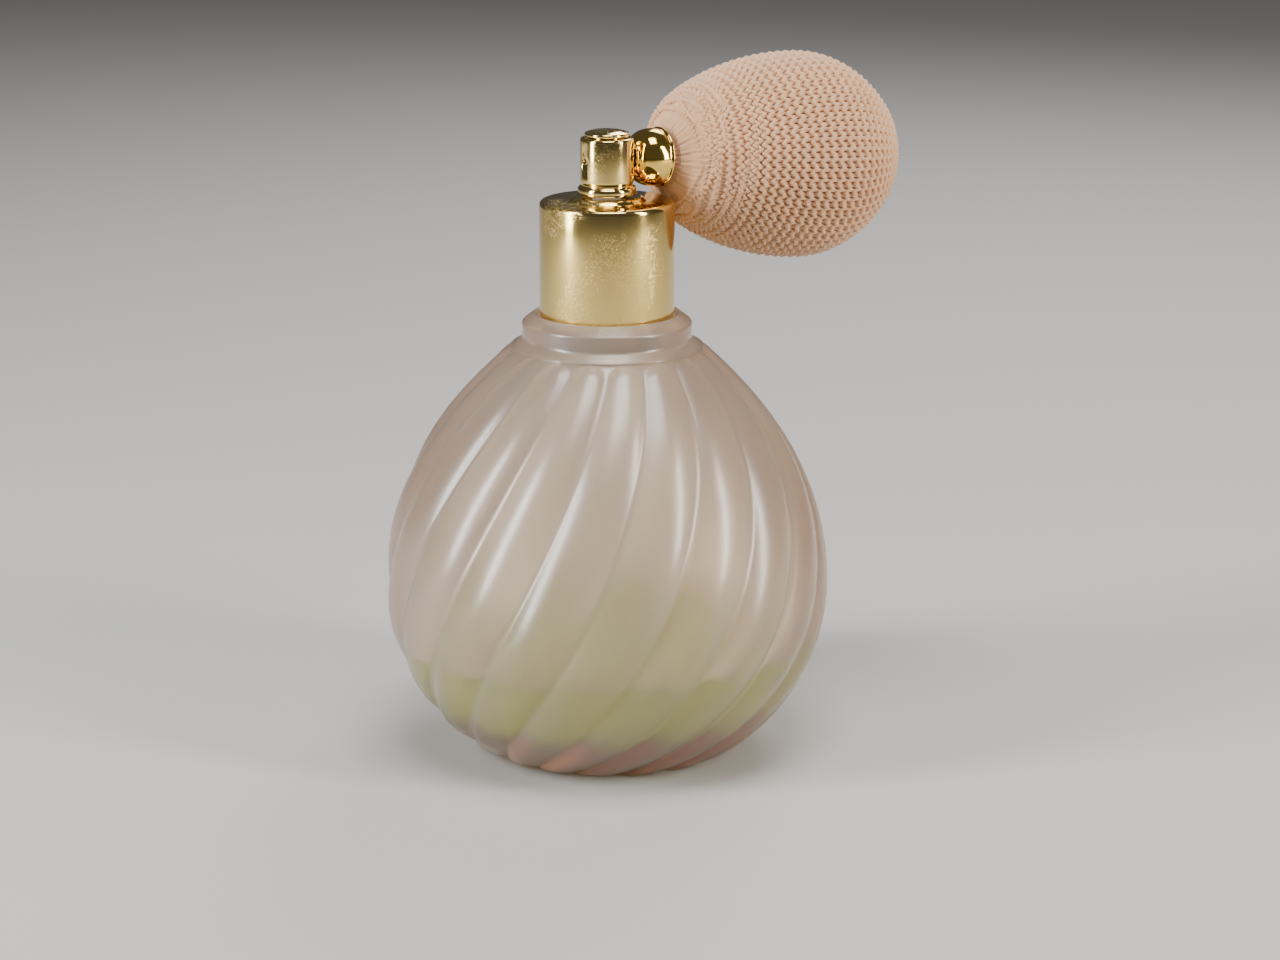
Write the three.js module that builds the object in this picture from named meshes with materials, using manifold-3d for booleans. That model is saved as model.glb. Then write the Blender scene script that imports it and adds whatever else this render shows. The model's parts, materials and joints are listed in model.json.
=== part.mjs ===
// A perfume atomiser: a swirl-ribbed glass bottle, a screw collar with a spray head, and a squeeze
// bulb in a knitted cover. Millimetres, +Z up. The origin is the centre of the bottle's base. The
// bulb points along +X and the spray leaves along -X.
import * as THREE from "three";
import { mergeVertices } from "three/addons/utils/BufferGeometryUtils.js";
import Module from "manifold-3d";

const wasm = await Module();
wasm.setup();

// Clearances
const GAP = 0.3; // between two pieces that touch
const THREAD_GAP = 0.35; // round the crests of the screw thread
const MOAT_GAP = 0.35; // between the collar and the glass ring that it stands in

// Collar: a thin metal shell with a threaded plastic cap inside it
const COLLAR_R = 12;
const COLLAR_H = 21.2;
const COLLAR_WALL = 0.5;
const COLLAR_ROUND = 0.8; // radius of the top edge
const COLLAR_LIFT = 1; // height of its rim above the glass
const PLATE_T = 0.8;
const BOSS_R = 6.5;
const BOSS_H = 0.7;
const CAP_PLATE_T = 1.4;
const WASHER_T = 0.5;
const WASHER_R = 8;

// Screw thread, and the stopper that the collar clamps on the neck
const THREAD_PITCH = 3.175;
const THREAD_DEPTH = 0.85;
const NECK_THREAD_TURNS = 1.5;
const CAP_THREAD_TURNS = 1.25;
const NECK_R = 9; // at the root of the thread
const BORE_R = 6.5;
const GASKET_T = 1.2;
const FLANGE_R = 8.8;
const FLANGE_T = 1.4;
const SPIGOT_L = 5;
const STEM_R = 2.6;
const STEM_INTO_HEAD = 3.4;
const TUBE_R = 1.6;
const TUBE_BORE_R = 0.9;
const TUBE_SOCKET_L = 4;
const TUBE_FOOT_GAP = 1.5; // height of the dip tube's foot above the floor of the bottle
const CHANNEL_R = 0.6;

// Bottle. The body's outline runs over the crests of the ribs.
const BODY_R = 40;
const BELLY_Z = 30;
const SHOULDER_Z = 73.6;
const FOOT_R = 22.4;
const BELLY_RISE = 20; // how straight the side stands above the belly
const BELLY_DROP = 14; // and below it
const SHOULDER_SLOPE = [11, 10];
const FOOT_SLOPE = [9.4, 5];
const GLASS_WALL = 3;
const GLASS_BASE = 8;
const RIB_COUNT = 18;
const RIB_DEPTH = 1.4;
const RIB_SAMPLES = 4; // facets across a rib
const RIB_LEAN_TOP = THREE.MathUtils.degToRad(8); // from upright
const RIB_LEAN_FOOT = THREE.MathUtils.degToRad(43);
const RIB_PHASE = THREE.MathUtils.degToRad(8);
const RING_WALL = 2.8;
const RING_H = 2.8; // outside, above the shoulder band
const RING_RISE = 1.8; // of its sloping top
const BAND_STEP = 2.5; // width of the smooth band between ribs and ring
const BAND_H = 1.6;

// Spray head
const HEAD_R = 4.75;
const HEAD_H = 10;
const HEAD_WALL = 0.5;
const HEAD_GAP = 0.5; // above the collar's boss
const FOOT_BEAD = 0.45; // how far the foot stands proud
const FOOT_H = 1.2;
const WAIST_H = 1;
const WAIST_CUT = 0.2;
const BUTTON_R = 3.95;
const BUTTON_T = 1.1;
const BUTTON_DOME = 0.6;
const BUTTON_STUD_R = 3;
const BUTTON_STUD_L = 0.8;
const PORT_H = 6.3; // height of the air way above the head's foot
const AIR_R = 1.2;
const NOZZLE_R = 0.9;
const NOZZLE_L = 2;
const ORIFICE_R = 0.3;
const JET_R = 0.55;
const JET_BORE_R = 0.25;

// Bulb. Its pieces lie on one axis, which droops from the level.
const BULB_DROOP = THREE.MathUtils.degToRad(4);
const BULB_R = 18.5;
const BULB_WIDEST = 40.8; // distance of the widest place from the head's axis
const BULB_END = 59.6; // and of the far end of the cover
const COVER_STEPS = [1, 2, 2, 2, 6, 6]; // facets along each piece of the cover's outline
const NET_T = 0.6;
const RUBBER_T = 1.8;
const NIPPLE_R = 1.4;
const NIPPLE_BORE_R = 0.8;
const NIPPLE_END = 16;
const BARB_R = 1.6;
const NET_NECK_R = 3.5;
const CUP_FOOT_R = 2.65;
const CUP_RIM_R = 5.35;
const CUP_L = 5.9;
const CUP_T = 0.45;
const BINDING_T = 0.32;
const BINDING_W = 0.7;
const VALVE_TUBE_R = 2.3;
const VALVE_FLANGE_R = 3.4;
const VALVE_FLANGE_T = 0.8;
const VALVE_BORE_R = 0.7;
const CHAMBER_R = 1.5;
const BALL_R = 1.1;
const BALL_DROP = 1.25; // its centre inside the seat's edge when it is shut
const GATHER_R = 0.35;

// Heights that follow from the sizes above
const BAND_TOP = SHOULDER_Z + BAND_H;
const MOAT_FLOOR = BAND_TOP + RING_H - 0.4;
const COLLAR_FOOT = MOAT_FLOOR + COLLAR_LIFT;
const COLLAR_TOP = COLLAR_FOOT + COLLAR_H;
const PLATE_UNDER = COLLAR_TOP - PLATE_T;
const CAP_TOP = PLATE_UNDER - GAP;
const CAP_UNDER = CAP_TOP - CAP_PLATE_T;
const WASHER_TOP = CAP_UNDER - GAP;
const FLANGE_TOP = WASHER_TOP - WASHER_T - GAP;
const GASKET_TOP = FLANGE_TOP - FLANGE_T - GAP;
const NECK_TOP = GASKET_TOP - GASKET_T - GAP;
const NECK_THREAD_LOW = NECK_TOP - 2 - THREAD_PITCH * NECK_THREAD_TURNS;
const HEAD_FOOT = COLLAR_TOP + BOSS_H + HEAD_GAP;
const HEAD_TOP = HEAD_FOOT + HEAD_H;
const STEM_TOP = HEAD_FOOT + STEM_INTO_HEAD;
const PORT_Z = HEAD_FOOT + PORT_H;
const RING_R = COLLAR_R + MOAT_GAP + RING_WALL;
const SHOULDER_R = RING_R + BAND_STEP;
const STEM_HOLE_R = STEM_R + GAP;
const END_HOLE_R = VALVE_TUBE_R + GAP; // through the rubber and its cover
const NET_CLEAR = COLLAR_R + 0.9; // where the cover passes the collar's top edge
const NET_NECK_END = NET_CLEAR - 2.7;

const FINE = 36; // sides of the collar
const MEDIUM = 24;
const COARSE = 12; // sides of slender tubes and small pieces

// Turns an outline of [radius, height] points about the Z axis: up the outside, then down the
// inside. An outline that doesn't start on the axis is closed on itself.
function turned(outline, sides) {
  const ring = outline[0][0] > 0 ? [...outline, outline[0]] : outline;
  const points = ring.map(([r, z]) => new THREE.Vector2(r, z));
  return new THREE.LatheGeometry(points, sides).rotateX(Math.PI / 2);
}

function rod(radius, low, high, sides = COARSE) {
  return turned([[0, low], [radius, low], [radius, high], [0, high]], sides);
}

function pipe(innerR, outerR, low, high, sides) {
  return turned([[outerR, low], [outerR, high], [innerR, high], [innerR, low]], sides);
}

function solid(geometry) {
  const bare = geometry.index ? geometry.toNonIndexed() : geometry.clone();
  bare.deleteAttribute("normal");
  bare.deleteAttribute("uv");
  const merged = mergeVertices(bare, 1e-4);
  return new wasm.Manifold(
    new wasm.Mesh({
      numProp: 3,
      vertProperties: new Float32Array(merged.attributes.position.array),
      triVerts: new Uint32Array(merged.index.array),
    }),
  );
}

function geometryOf(body) {
  const mesh = body.getMesh();
  const geometry = new THREE.BufferGeometry();
  geometry.setAttribute("position", new THREE.BufferAttribute(mesh.vertProperties, 3));
  geometry.setIndex(new THREE.BufferAttribute(mesh.triVerts, 1));
  geometry.computeVertexNormals();
  return geometry;
}

function cut(geometry, ...tools) {
  return geometryOf(tools.reduce((body, tool) => body.subtract(solid(tool)), solid(geometry)));
}

function join(geometry, ...others) {
  return geometryOf(others.reduce((body, other) => body.add(solid(other)), solid(geometry)));
}

// The points of an outline moved inwards, square to the line, by a distance.
function inset(points, distance) {
  return points.map((point, i) => {
    const before = points[Math.max(i - 1, 0)];
    const after = points[Math.min(i + 1, points.length - 1)];
    const along = new THREE.Vector2().subVectors(after, before).normalize();
    return new THREE.Vector2(point.x - along.y * distance, point.y + along.x * distance);
  });
}

const asPairs = (points) => points.map((point) => [point.x, point.y]);

function arc(centreR, centreZ, radius, from, to, steps) {
  return Array.from({ length: steps + 1 }, (_, i) => {
    const angle = THREE.MathUtils.degToRad(from + ((to - from) * i) / steps);
    return [centreR + radius * Math.cos(angle), centreZ + radius * Math.sin(angle)];
  });
}

// A right-handed screw ridge: a straight bar of trapezoid section, wrapped round the Z axis. It
// stands on the wall of radius rootR, points outwards by a positive depth, and thins out at its ends.
function ridge(rootR, depth, low, turns) {
  const root = 1.1;
  const crest = 0.4;
  const sunk = -0.25 * Math.sign(depth);
  const section = new THREE.Shape();
  section.moveTo(sunk, -root);
  section.lineTo(depth, -crest);
  section.lineTo(depth, crest);
  section.lineTo(sunk, root);
  section.closePath();
  const steps = Math.round(turns * 20);
  const bar = new THREE.ExtrudeGeometry(section, { depth: 1, steps, bevelEnabled: false });
  const place = bar.getAttribute("position");
  for (let i = 0; i < place.count; i += 1) {
    const share = place.getZ(i);
    const thinning = Math.min(1, 0.3 + 6 * Math.min(share, 1 - share));
    const angle = share * turns * 2 * Math.PI;
    const out = place.getX(i);
    const radius = rootR + (out * depth > 0 ? out * thinning : out);
    const height = low + place.getY(i) * thinning * 0.75 + THREAD_PITCH * share * turns;
    place.setXYZ(i, radius * Math.cos(angle), radius * Math.sin(angle), height);
  }
  return flipped(bar);
}

// The wrapping mirrors the bar, so its faces are turned round again.
function flipped(geometry) {
  const place = geometry.getAttribute("position");
  for (let i = 0; i < place.count; i += 3) {
    const a = [place.getX(i), place.getY(i), place.getZ(i)];
    place.setXYZ(i, place.getX(i + 1), place.getY(i + 1), place.getZ(i + 1));
    place.setXYZ(i + 1, ...a);
  }
  return geometry;
}

// ---- Bottle ----

function bottleSide(lowerSteps, upperSteps) {
  const lower = new THREE.CubicBezierCurve(
    new THREE.Vector2(FOOT_R, 0),
    new THREE.Vector2(FOOT_R + FOOT_SLOPE[0], FOOT_SLOPE[1]),
    new THREE.Vector2(BODY_R, BELLY_Z - BELLY_DROP),
    new THREE.Vector2(BODY_R, BELLY_Z),
  );
  const upper = new THREE.CubicBezierCurve(
    new THREE.Vector2(BODY_R, BELLY_Z),
    new THREE.Vector2(BODY_R, BELLY_Z + BELLY_RISE),
    new THREE.Vector2(SHOULDER_R + SHOULDER_SLOPE[0], SHOULDER_Z - SHOULDER_SLOPE[1]),
    new THREE.Vector2(SHOULDER_R, SHOULDER_Z),
  );
  return [...lower.getPoints(lowerSteps), ...upper.getPoints(upperSteps).slice(1)];
}

// How far round the ribs have turned at each point of the side. They lean evenly more from the
// shoulder down, and rise in a right-handed screw.
function ribTurns(side) {
  const turns = side.map(() => 0);
  for (let i = side.length - 2; i >= 0; i -= 1) {
    const length = side[i].distanceTo(side[i + 1]);
    const radius = (side[i].x + side[i + 1].x) / 2;
    const height = (side[i].y + side[i + 1].y) / 2;
    const lean = THREE.MathUtils.lerp(RIB_LEAN_FOOT, RIB_LEAN_TOP, height / SHOULDER_Z);
    turns[i] = turns[i + 1] - (length * Math.tan(lean)) / radius;
  }
  return turns;
}

// The outside is turned solid, then each ring of points on the body is turned with the ribs and
// drawn in towards the creases between them. Above the shoulder it is plain and round.
function bottleOutside() {
  const side = bottleSide(6, 9);
  const turns = ribTurns(side);
  const lip = BAND_TOP + RING_H;
  const moatR = COLLAR_R + MOAT_GAP;
  const outline = [
    [0, 0],
    ...asPairs(side),
    [RING_R + BAND_STEP / 2, SHOULDER_Z + BAND_H * 0.6],
    [RING_R, BAND_TOP],
    [RING_R, lip],
    [moatR + 0.3, lip + RING_RISE],
    [moatR, lip + RING_RISE - 0.3],
    [moatR, MOAT_FLOOR],
    [NECK_R, MOAT_FLOOR],
    [NECK_R, NECK_TOP - 0.5],
    [NECK_R - 0.5, NECK_TOP],
    [0, NECK_TOP],
  ];
  const body = turned(outline, RIB_COUNT * RIB_SAMPLES);
  const place = body.getAttribute("position");
  for (let i = 0; i < place.count; i += 1) {
    const level = (i % outline.length) - 1;
    if (level < 0 || level >= side.length) continue;
    const slice = Math.floor(i / outline.length);
    const across = ((slice % RIB_SAMPLES) / RIB_SAMPLES) * 2 - 1;
    const fade = THREE.MathUtils.smoothstep(SHOULDER_Z - side[level].y, -2, 8);
    const radius = side[level].x - RIB_DEPTH * fade * across ** 2;
    const round = (slice / (RIB_COUNT * RIB_SAMPLES)) * 2 * Math.PI;
    const angle = round + turns[level] + RIB_PHASE + Math.PI / RIB_COUNT;
    place.setXYZ(i, radius * Math.cos(angle), radius * Math.sin(angle), side[level].y);
  }
  return body;
}

function bottle() {
  const walls = asPairs(inset(bottleSide(5, 7), GLASS_WALL + RIB_DEPTH)).filter(
    ([r, z]) => z > GLASS_BASE + 1 && z < SHOULDER_Z - 2 && r > BORE_R + 1,
  );
  const hollow = turned(
    [
      [0, GLASS_BASE],
      [walls[0][0] - 3, GLASS_BASE],
      ...walls,
      [BORE_R + 0.8, BAND_TOP - 2],
      [BORE_R, BAND_TOP],
      [BORE_R, NECK_TOP + 1],
      [0, NECK_TOP + 1],
    ],
    FINE,
  );
  const thread = ridge(NECK_R, THREAD_DEPTH, NECK_THREAD_LOW, NECK_THREAD_TURNS);
  return cut(join(bottleOutside(), thread), hollow);
}

// ---- Stopper: gasket, plug with its stem, dip tube ----

function gasket() {
  const low = NECK_TOP + GAP;
  return pipe(BORE_R, FLANGE_R, low, GASKET_TOP, MEDIUM);
}

const SPIGOT_FOOT = NECK_TOP - SPIGOT_L;
const TUBE_TOP = SPIGOT_FOOT + TUBE_SOCKET_L;
const JET_FOOT = STEM_TOP - 1;

function stemPlug() {
  const spigotR = BORE_R - GAP;
  const flangeUnder = FLANGE_TOP - FLANGE_T;
  return turned(
    [
      [spigotR - 0.5, SPIGOT_FOOT],
      [spigotR, SPIGOT_FOOT + 0.8],
      [spigotR, flangeUnder],
      [FLANGE_R, flangeUnder],
      [FLANGE_R, FLANGE_TOP],
      [STEM_R, FLANGE_TOP],
      [STEM_R, STEM_TOP],
      [JET_R + GAP, STEM_TOP],
      [JET_R + GAP, JET_FOOT - GAP],
      [CHANNEL_R, JET_FOOT - GAP],
      [CHANNEL_R, TUBE_TOP + GAP],
      [TUBE_R + GAP, TUBE_TOP + GAP],
      [TUBE_R + GAP, SPIGOT_FOOT],
    ],
    MEDIUM,
  );
}

function dipTube() {
  const foot = GLASS_BASE + TUBE_FOOT_GAP;
  return pipe(TUBE_BORE_R, TUBE_R, foot, TUBE_TOP, COARSE);
}

function swivelWasher() {
  return pipe(STEM_HOLE_R, WASHER_R, WASHER_TOP - WASHER_T, WASHER_TOP, MEDIUM);
}

// ---- Collar ----

function screwCap() {
  const outerR = COLLAR_R - COLLAR_WALL - GAP;
  const innerR = NECK_R + THREAD_DEPTH + THREAD_GAP;
  const cap = turned(
    [
      [innerR, COLLAR_FOOT + GAP],
      [outerR, COLLAR_FOOT + GAP],
      [outerR, CAP_TOP],
      [STEM_HOLE_R, CAP_TOP],
      [STEM_HOLE_R, CAP_UNDER],
      [innerR, CAP_UNDER],
    ],
    FINE,
  );
  const threadLow = NECK_THREAD_LOW - THREAD_PITCH / 2;
  const thread = ridge(innerR, -THREAD_DEPTH, threadLow, CAP_THREAD_TURNS);
  return join(cap, thread);
}

function collarShell() {
  const innerR = COLLAR_R - COLLAR_WALL;
  return turned(
    [
      [innerR, COLLAR_FOOT],
      [COLLAR_R, COLLAR_FOOT],
      ...arc(COLLAR_R - COLLAR_ROUND, COLLAR_TOP - COLLAR_ROUND, COLLAR_ROUND, 0, 90, 4),
      [BOSS_R, COLLAR_TOP],
      [BOSS_R - 0.3, COLLAR_TOP + BOSS_H],
      [STEM_HOLE_R, COLLAR_TOP + BOSS_H],
      [STEM_HOLE_R, PLATE_UNDER],
      [innerR, PLATE_UNDER],
    ],
    FINE,
  );
}

// ---- Spray head ----

// The axis that the bulb and its fittings share, as the frame of their group.
const bulbTurn = Math.PI / 2 + BULB_DROOP;
const bulbFrame = new THREE.Matrix4().makeRotationY(bulbTurn).setPosition(0, 0, PORT_Z);
const sprayFrame = new THREE.Matrix4().makeRotationY(-Math.PI / 2).setPosition(0, 0, PORT_Z);
const onBulbAxis = (geometry) => geometry.applyMatrix4(bulbFrame);
const onSprayAxis = (geometry) => geometry.applyMatrix4(sprayFrame);

function headShell() {
  const footR = HEAD_R + FOOT_BEAD;
  const innerR = HEAD_R - HEAD_WALL;
  const shell = turned(
    [
      [innerR, HEAD_FOOT],
      [footR - 0.2, HEAD_FOOT],
      [footR, HEAD_FOOT + 0.3],
      [footR, HEAD_FOOT + FOOT_H - 0.3],
      [footR - 0.3, HEAD_FOOT + FOOT_H],
      [HEAD_R - WAIST_CUT, HEAD_FOOT + FOOT_H + WAIST_H / 2],
      [HEAD_R, HEAD_FOOT + FOOT_H + WAIST_H],
      [HEAD_R, HEAD_TOP - 0.4],
      [HEAD_R - 0.4, HEAD_TOP],
      [BUTTON_STUD_R + GAP, HEAD_TOP],
      [BUTTON_STUD_R + GAP, HEAD_TOP - HEAD_WALL],
      [innerR, HEAD_TOP - HEAD_WALL],
    ],
    MEDIUM,
  );
  const sprayHole = onSprayAxis(rod(NOZZLE_R + GAP, HEAD_R / 2, HEAD_R + 1));
  const bulbHole = onBulbAxis(rod(NIPPLE_R + GAP, HEAD_R / 2, HEAD_R + 1));
  return cut(shell, sprayHole, bulbHole);
}

function headCap() {
  const low = HEAD_TOP + GAP;
  const edge = low + BUTTON_T - BUTTON_DOME;
  const domeR = (BUTTON_R ** 2 + BUTTON_DOME ** 2) / (2 * BUTTON_DOME);
  const rim = THREE.MathUtils.radToDeg(Math.acos(BUTTON_R / domeR));
  return turned(
    [
      [0, low - GAP - BUTTON_STUD_L],
      [BUTTON_STUD_R, low - GAP - BUTTON_STUD_L],
      [BUTTON_STUD_R, low],
      [BUTTON_R, low],
      ...arc(0, edge + BUTTON_DOME - domeR, domeR, rim, 90, 5).slice(0, -1),
      [0, edge + BUTTON_DOME],
    ],
    MEDIUM,
  );
}

function headCore() {
  const outerR = HEAD_R - HEAD_WALL - GAP;
  const low = HEAD_FOOT + GAP;
  const high = HEAD_TOP - BUTTON_STUD_L - 2 * GAP;
  const core = rod(outerR, low, high, MEDIUM);
  return cut(
    core,
    rod(STEM_R + GAP, low - 1, STEM_TOP + GAP, MEDIUM),
    rod(JET_R + GAP, STEM_TOP, PORT_Z),
    onSprayAxis(rod(AIR_R, -AIR_R / 2, outerR + 1)),
    onBulbAxis(rod(NIPPLE_R + GAP, AIR_R / 2, outerR + 1)),
  );
}

function nozzleInsert() {
  const front = HEAD_R - 0.1;
  const back = front - NOZZLE_L;
  return onSprayAxis(pipe(ORIFICE_R, NOZZLE_R, back, front, COARSE));
}

function liquidJet() {
  return pipe(JET_BORE_R, JET_R, JET_FOOT, PORT_Z - 0.2, COARSE);
}

// ---- Bulb and its fittings, in the frame of their own axis: Z is the distance from the head ----

const CUP_FOOT = HEAD_R + GAP;
const CUP_FLOOR_T = 0.8;
const NIPPLE_FLANGE_FOOT = CUP_FOOT + CUP_FLOOR_T + GAP;
const NIPPLE_FLANGE_T = 0.7;
const RUBBER_FOOT = NIPPLE_FLANGE_FOOT + NIPPLE_FLANGE_T + GAP;
const NET_FOOT = RUBBER_FOOT + 0.7;

function bulbNipple() {
  const inner = AIR_R / 2 + GAP;
  const barbs = [0, 1, 2].flatMap((i) => {
    const start = RUBBER_FOOT + 1 + 2.4 * i;
    return [[NIPPLE_R, start], [BARB_R, start], [NIPPLE_R, start + 1.4]];
  });
  return turned(
    [
      [NIPPLE_R, inner],
      [NIPPLE_R, NIPPLE_FLANGE_FOOT],
      [CUP_FOOT_R - CUP_T - GAP, NIPPLE_FLANGE_FOOT],
      [CUP_FOOT_R - CUP_T - GAP, NIPPLE_FLANGE_FOOT + NIPPLE_FLANGE_T],
      [NIPPLE_R, NIPPLE_FLANGE_FOOT + NIPPLE_FLANGE_T],
      ...barbs,
      [NIPPLE_R, NIPPLE_END],
      [NIPPLE_BORE_R, NIPPLE_END],
      [NIPPLE_BORE_R, inner],
    ],
    COARSE,
  );
}

// A spun bell that swells from the head to its rim, over the gathered end of the cover.
function bulbCup() {
  const flare = new THREE.QuadraticBezierCurve(
    new THREE.Vector2(CUP_FOOT_R, CUP_FOOT + 0.4),
    new THREE.Vector2(CUP_RIM_R - 0.45, CUP_FOOT + CUP_L * 0.25),
    new THREE.Vector2(CUP_RIM_R - 0.3, CUP_FOOT + CUP_L - 0.5),
  ).getPoints(6);
  const inside = asPairs(inset(flare, CUP_T)).filter(([, z]) => z > CUP_FOOT + CUP_FLOOR_T + 0.3);
  return turned(
    [
      [NIPPLE_R + GAP, CUP_FOOT],
      [CUP_FOOT_R - 0.2, CUP_FOOT],
      ...asPairs(flare),
      [CUP_RIM_R, CUP_FOOT + CUP_L - 0.3],
      [CUP_RIM_R - 0.1, CUP_FOOT + CUP_L],
      [CUP_RIM_R - CUP_T, CUP_FOOT + CUP_L],
      ...inside.reverse(),
      [CUP_FOOT_R - CUP_T, CUP_FOOT + CUP_FLOOR_T],
      [NIPPLE_R + GAP, CUP_FOOT + CUP_FLOOR_T],
    ],
    MEDIUM,
  );
}

// The outside of the knitted cover: a neck inside the cup, a shoulder that just clears the
// collar's top edge, the egg-shaped bulb, and the hole for the valve at the far end.
function coverOutline() {
  const line = new THREE.Path();
  line.moveTo(NET_NECK_R, NET_FOOT);
  line.lineTo(NET_NECK_R, NET_NECK_END);
  line.quadraticCurveTo(NET_NECK_R + 0.1, NET_CLEAR - 1.5, 5.6, NET_CLEAR - 1.2);
  line.quadraticCurveTo(6.3, NET_CLEAR - 0.7, 7.2, NET_CLEAR);
  line.quadraticCurveTo(9.9, NET_CLEAR + 1, 11.7, NET_CLEAR + 3.3);
  line.bezierCurveTo(13, NET_CLEAR + 5.2, BULB_R, BULB_WIDEST - 13, BULB_R, BULB_WIDEST);
  line.bezierCurveTo(BULB_R, BULB_WIDEST + 9, END_HOLE_R + 8, BULB_END, END_HOLE_R, BULB_END);
  return line.curves.flatMap((curve, i) => curve.getPoints(COVER_STEPS[i]).slice(i === 0 ? 0 : 1));
}

// A skin that lies a distance inside the cover, from its neck to the hole at the far end.
function skinInside(outline, distance) {
  const line = asPairs(inset(outline, distance));
  const clearOfHole = line.filter(([r, z]) => z < BULB_WIDEST || r > END_HOLE_R + 1);
  return [...clearOfHole, [END_HOLE_R, BULB_END - distance]];
}

function bulbNet(outline) {
  return turned([...asPairs(outline), ...skinInside(outline, NET_T).reverse()], MEDIUM);
}

// The rubber bulb follows the inside of its cover. Its thick neck is pushed over the barbs.
function rubberBulb(outline) {
  const depth = NET_T + GAP;
  const neckR = NET_NECK_R - depth;
  const boreR = BARB_R + GAP;
  const onBody = ([, z]) => z > NET_CLEAR;
  const outside = skinInside(outline, depth).filter(onBody);
  const inside = skinInside(outline, depth + RUBBER_T).filter(onBody);
  return turned(
    [
      [boreR, RUBBER_FOOT],
      [neckR, RUBBER_FOOT],
      [neckR, NET_NECK_END + depth],
      ...outside,
      ...inside.reverse(),
      [boreR, NIPPLE_END - 1.5],
    ],
    MEDIUM,
  );
}

function neckBinding() {
  const inner = NET_NECK_R + 0.25;
  const low = NET_FOOT + 1.8;
  return pipe(inner, inner + BINDING_T, low, low + BINDING_W, MEDIUM);
}

const VALVE_END = BULB_END + GAP + VALVE_FLANGE_T;
const SEAT = VALVE_END - 3.2;
const CHAMBER_FOOT = SEAT - 2.9;
const CAGE_T = 1.2;

// The intake valve: air comes in through the tube, past the ball and through the cage.
function valveBody() {
  return turned(
    [
      [CHAMBER_R, CHAMBER_FOOT],
      [VALVE_TUBE_R, CHAMBER_FOOT],
      [VALVE_TUBE_R, BULB_END + GAP],
      [VALVE_FLANGE_R, BULB_END + GAP],
      [VALVE_FLANGE_R, VALVE_END - 0.2],
      [VALVE_FLANGE_R - 0.2, VALVE_END],
      [VALVE_BORE_R, VALVE_END],
      [VALVE_BORE_R, SEAT],
      [CHAMBER_R, SEAT - 0.9],
    ],
    MEDIUM,
  );
}

function valveBall() {
  return new THREE.SphereGeometry(BALL_R, COARSE, 10).translate(0, 0, SEAT - BALL_DROP);
}

function valveCage() {
  const outerR = VALVE_TUBE_R + GAP + 0.7;
  const floor = CHAMBER_FOOT - GAP;
  const cage = turned(
    [
      [0, floor - CAGE_T],
      [outerR, floor - CAGE_T],
      [outerR, floor + 1.6],
      [VALVE_TUBE_R + GAP, floor + 1.6],
      [VALVE_TUBE_R + GAP, floor],
      [0, floor],
    ],
    MEDIUM,
  );
  const holes = [0, 1, 2].map((i) => {
    const angle = (i * 2 * Math.PI) / 3;
    const hole = rod(0.5, floor - CAGE_T - 1, floor + 1, 10);
    return hole.translate(1.35 * Math.cos(angle), 1.35 * Math.sin(angle), 0);
  });
  return cut(cage, ...holes);
}

function netGather() {
  const centreR = VALVE_FLANGE_R + GAP + GATHER_R + 0.1;
  return turned(arc(centreR, BULB_END + GAP + GATHER_R, GATHER_R, -180, 135, 7), MEDIUM);
}

// ---- The assembly ----

const finish = (color, roughness, metalness, extra = {}) =>
  new THREE.MeshStandardMaterial({ color, roughness, metalness, ...extra });
const glass = finish(0xcdb2a6, 0.45, 0, { transparent: true, opacity: 0.7 });
const gold = finish(0xd6b25e, 0.2, 1);
const whitePlastic = finish(0xe9e6dd, 0.5, 0);
const clearPlastic = finish(0xdfe4e2, 0.3, 0, { transparent: true, opacity: 0.5 });
const sealRubber = finish(0x2e2c2b, 0.8, 0);
const bulbRubber = finish(0xa9896f, 0.7, 0);
const knit = finish(0xd9b395, 0.95, 0);
const thread = finish(0xcfa98b, 0.9, 0);
const steel = finish(0xb8bcc0, 0.25, 1);

const atomiser = new THREE.Group();
const bulb = new THREE.Group();
bulb.rotation.y = bulbTurn;
bulb.position.z = PORT_Z;
atomiser.add(bulb);

function addPiece(group, name, geometry, material) {
  const mesh = new THREE.Mesh(geometry, material);
  mesh.name = name;
  group.add(mesh);
}

addPiece(atomiser, "bottle", bottle(), glass);
addPiece(atomiser, "bottle_gasket", gasket(), sealRubber);
addPiece(atomiser, "stem_plug", stemPlug(), whitePlastic);
addPiece(atomiser, "dip_tube", dipTube(), clearPlastic);
addPiece(atomiser, "swivel_washer", swivelWasher(), whitePlastic);
addPiece(atomiser, "screw_cap", screwCap(), whitePlastic);
addPiece(atomiser, "collar_shell", collarShell(), gold);
addPiece(atomiser, "head_shell", headShell(), gold);
addPiece(atomiser, "head_cap", headCap(), gold);
addPiece(atomiser, "head_core", headCore(), whitePlastic);
addPiece(atomiser, "nozzle_insert", nozzleInsert(), gold);
addPiece(atomiser, "liquid_jet", liquidJet(), steel);

const cover = coverOutline();
addPiece(bulb, "bulb_nipple", bulbNipple(), steel);
addPiece(bulb, "bulb_cup", bulbCup(), gold);
addPiece(bulb, "neck_binding", neckBinding(), thread);
addPiece(bulb, "rubber_bulb", rubberBulb(cover), bulbRubber);
addPiece(bulb, "bulb_net", bulbNet(cover), knit);
addPiece(bulb, "intake_valve_body", valveBody(), gold);
addPiece(bulb, "intake_valve_cage", valveCage(), whitePlastic);
addPiece(bulb, "intake_valve_ball", valveBall(), steel);
addPiece(bulb, "net_gather", netGather(), thread);

export default atomiser;
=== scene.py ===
import json
import math

import bmesh
import bpy
import numpy as np
from mathutils import Matrix, Vector


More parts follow.
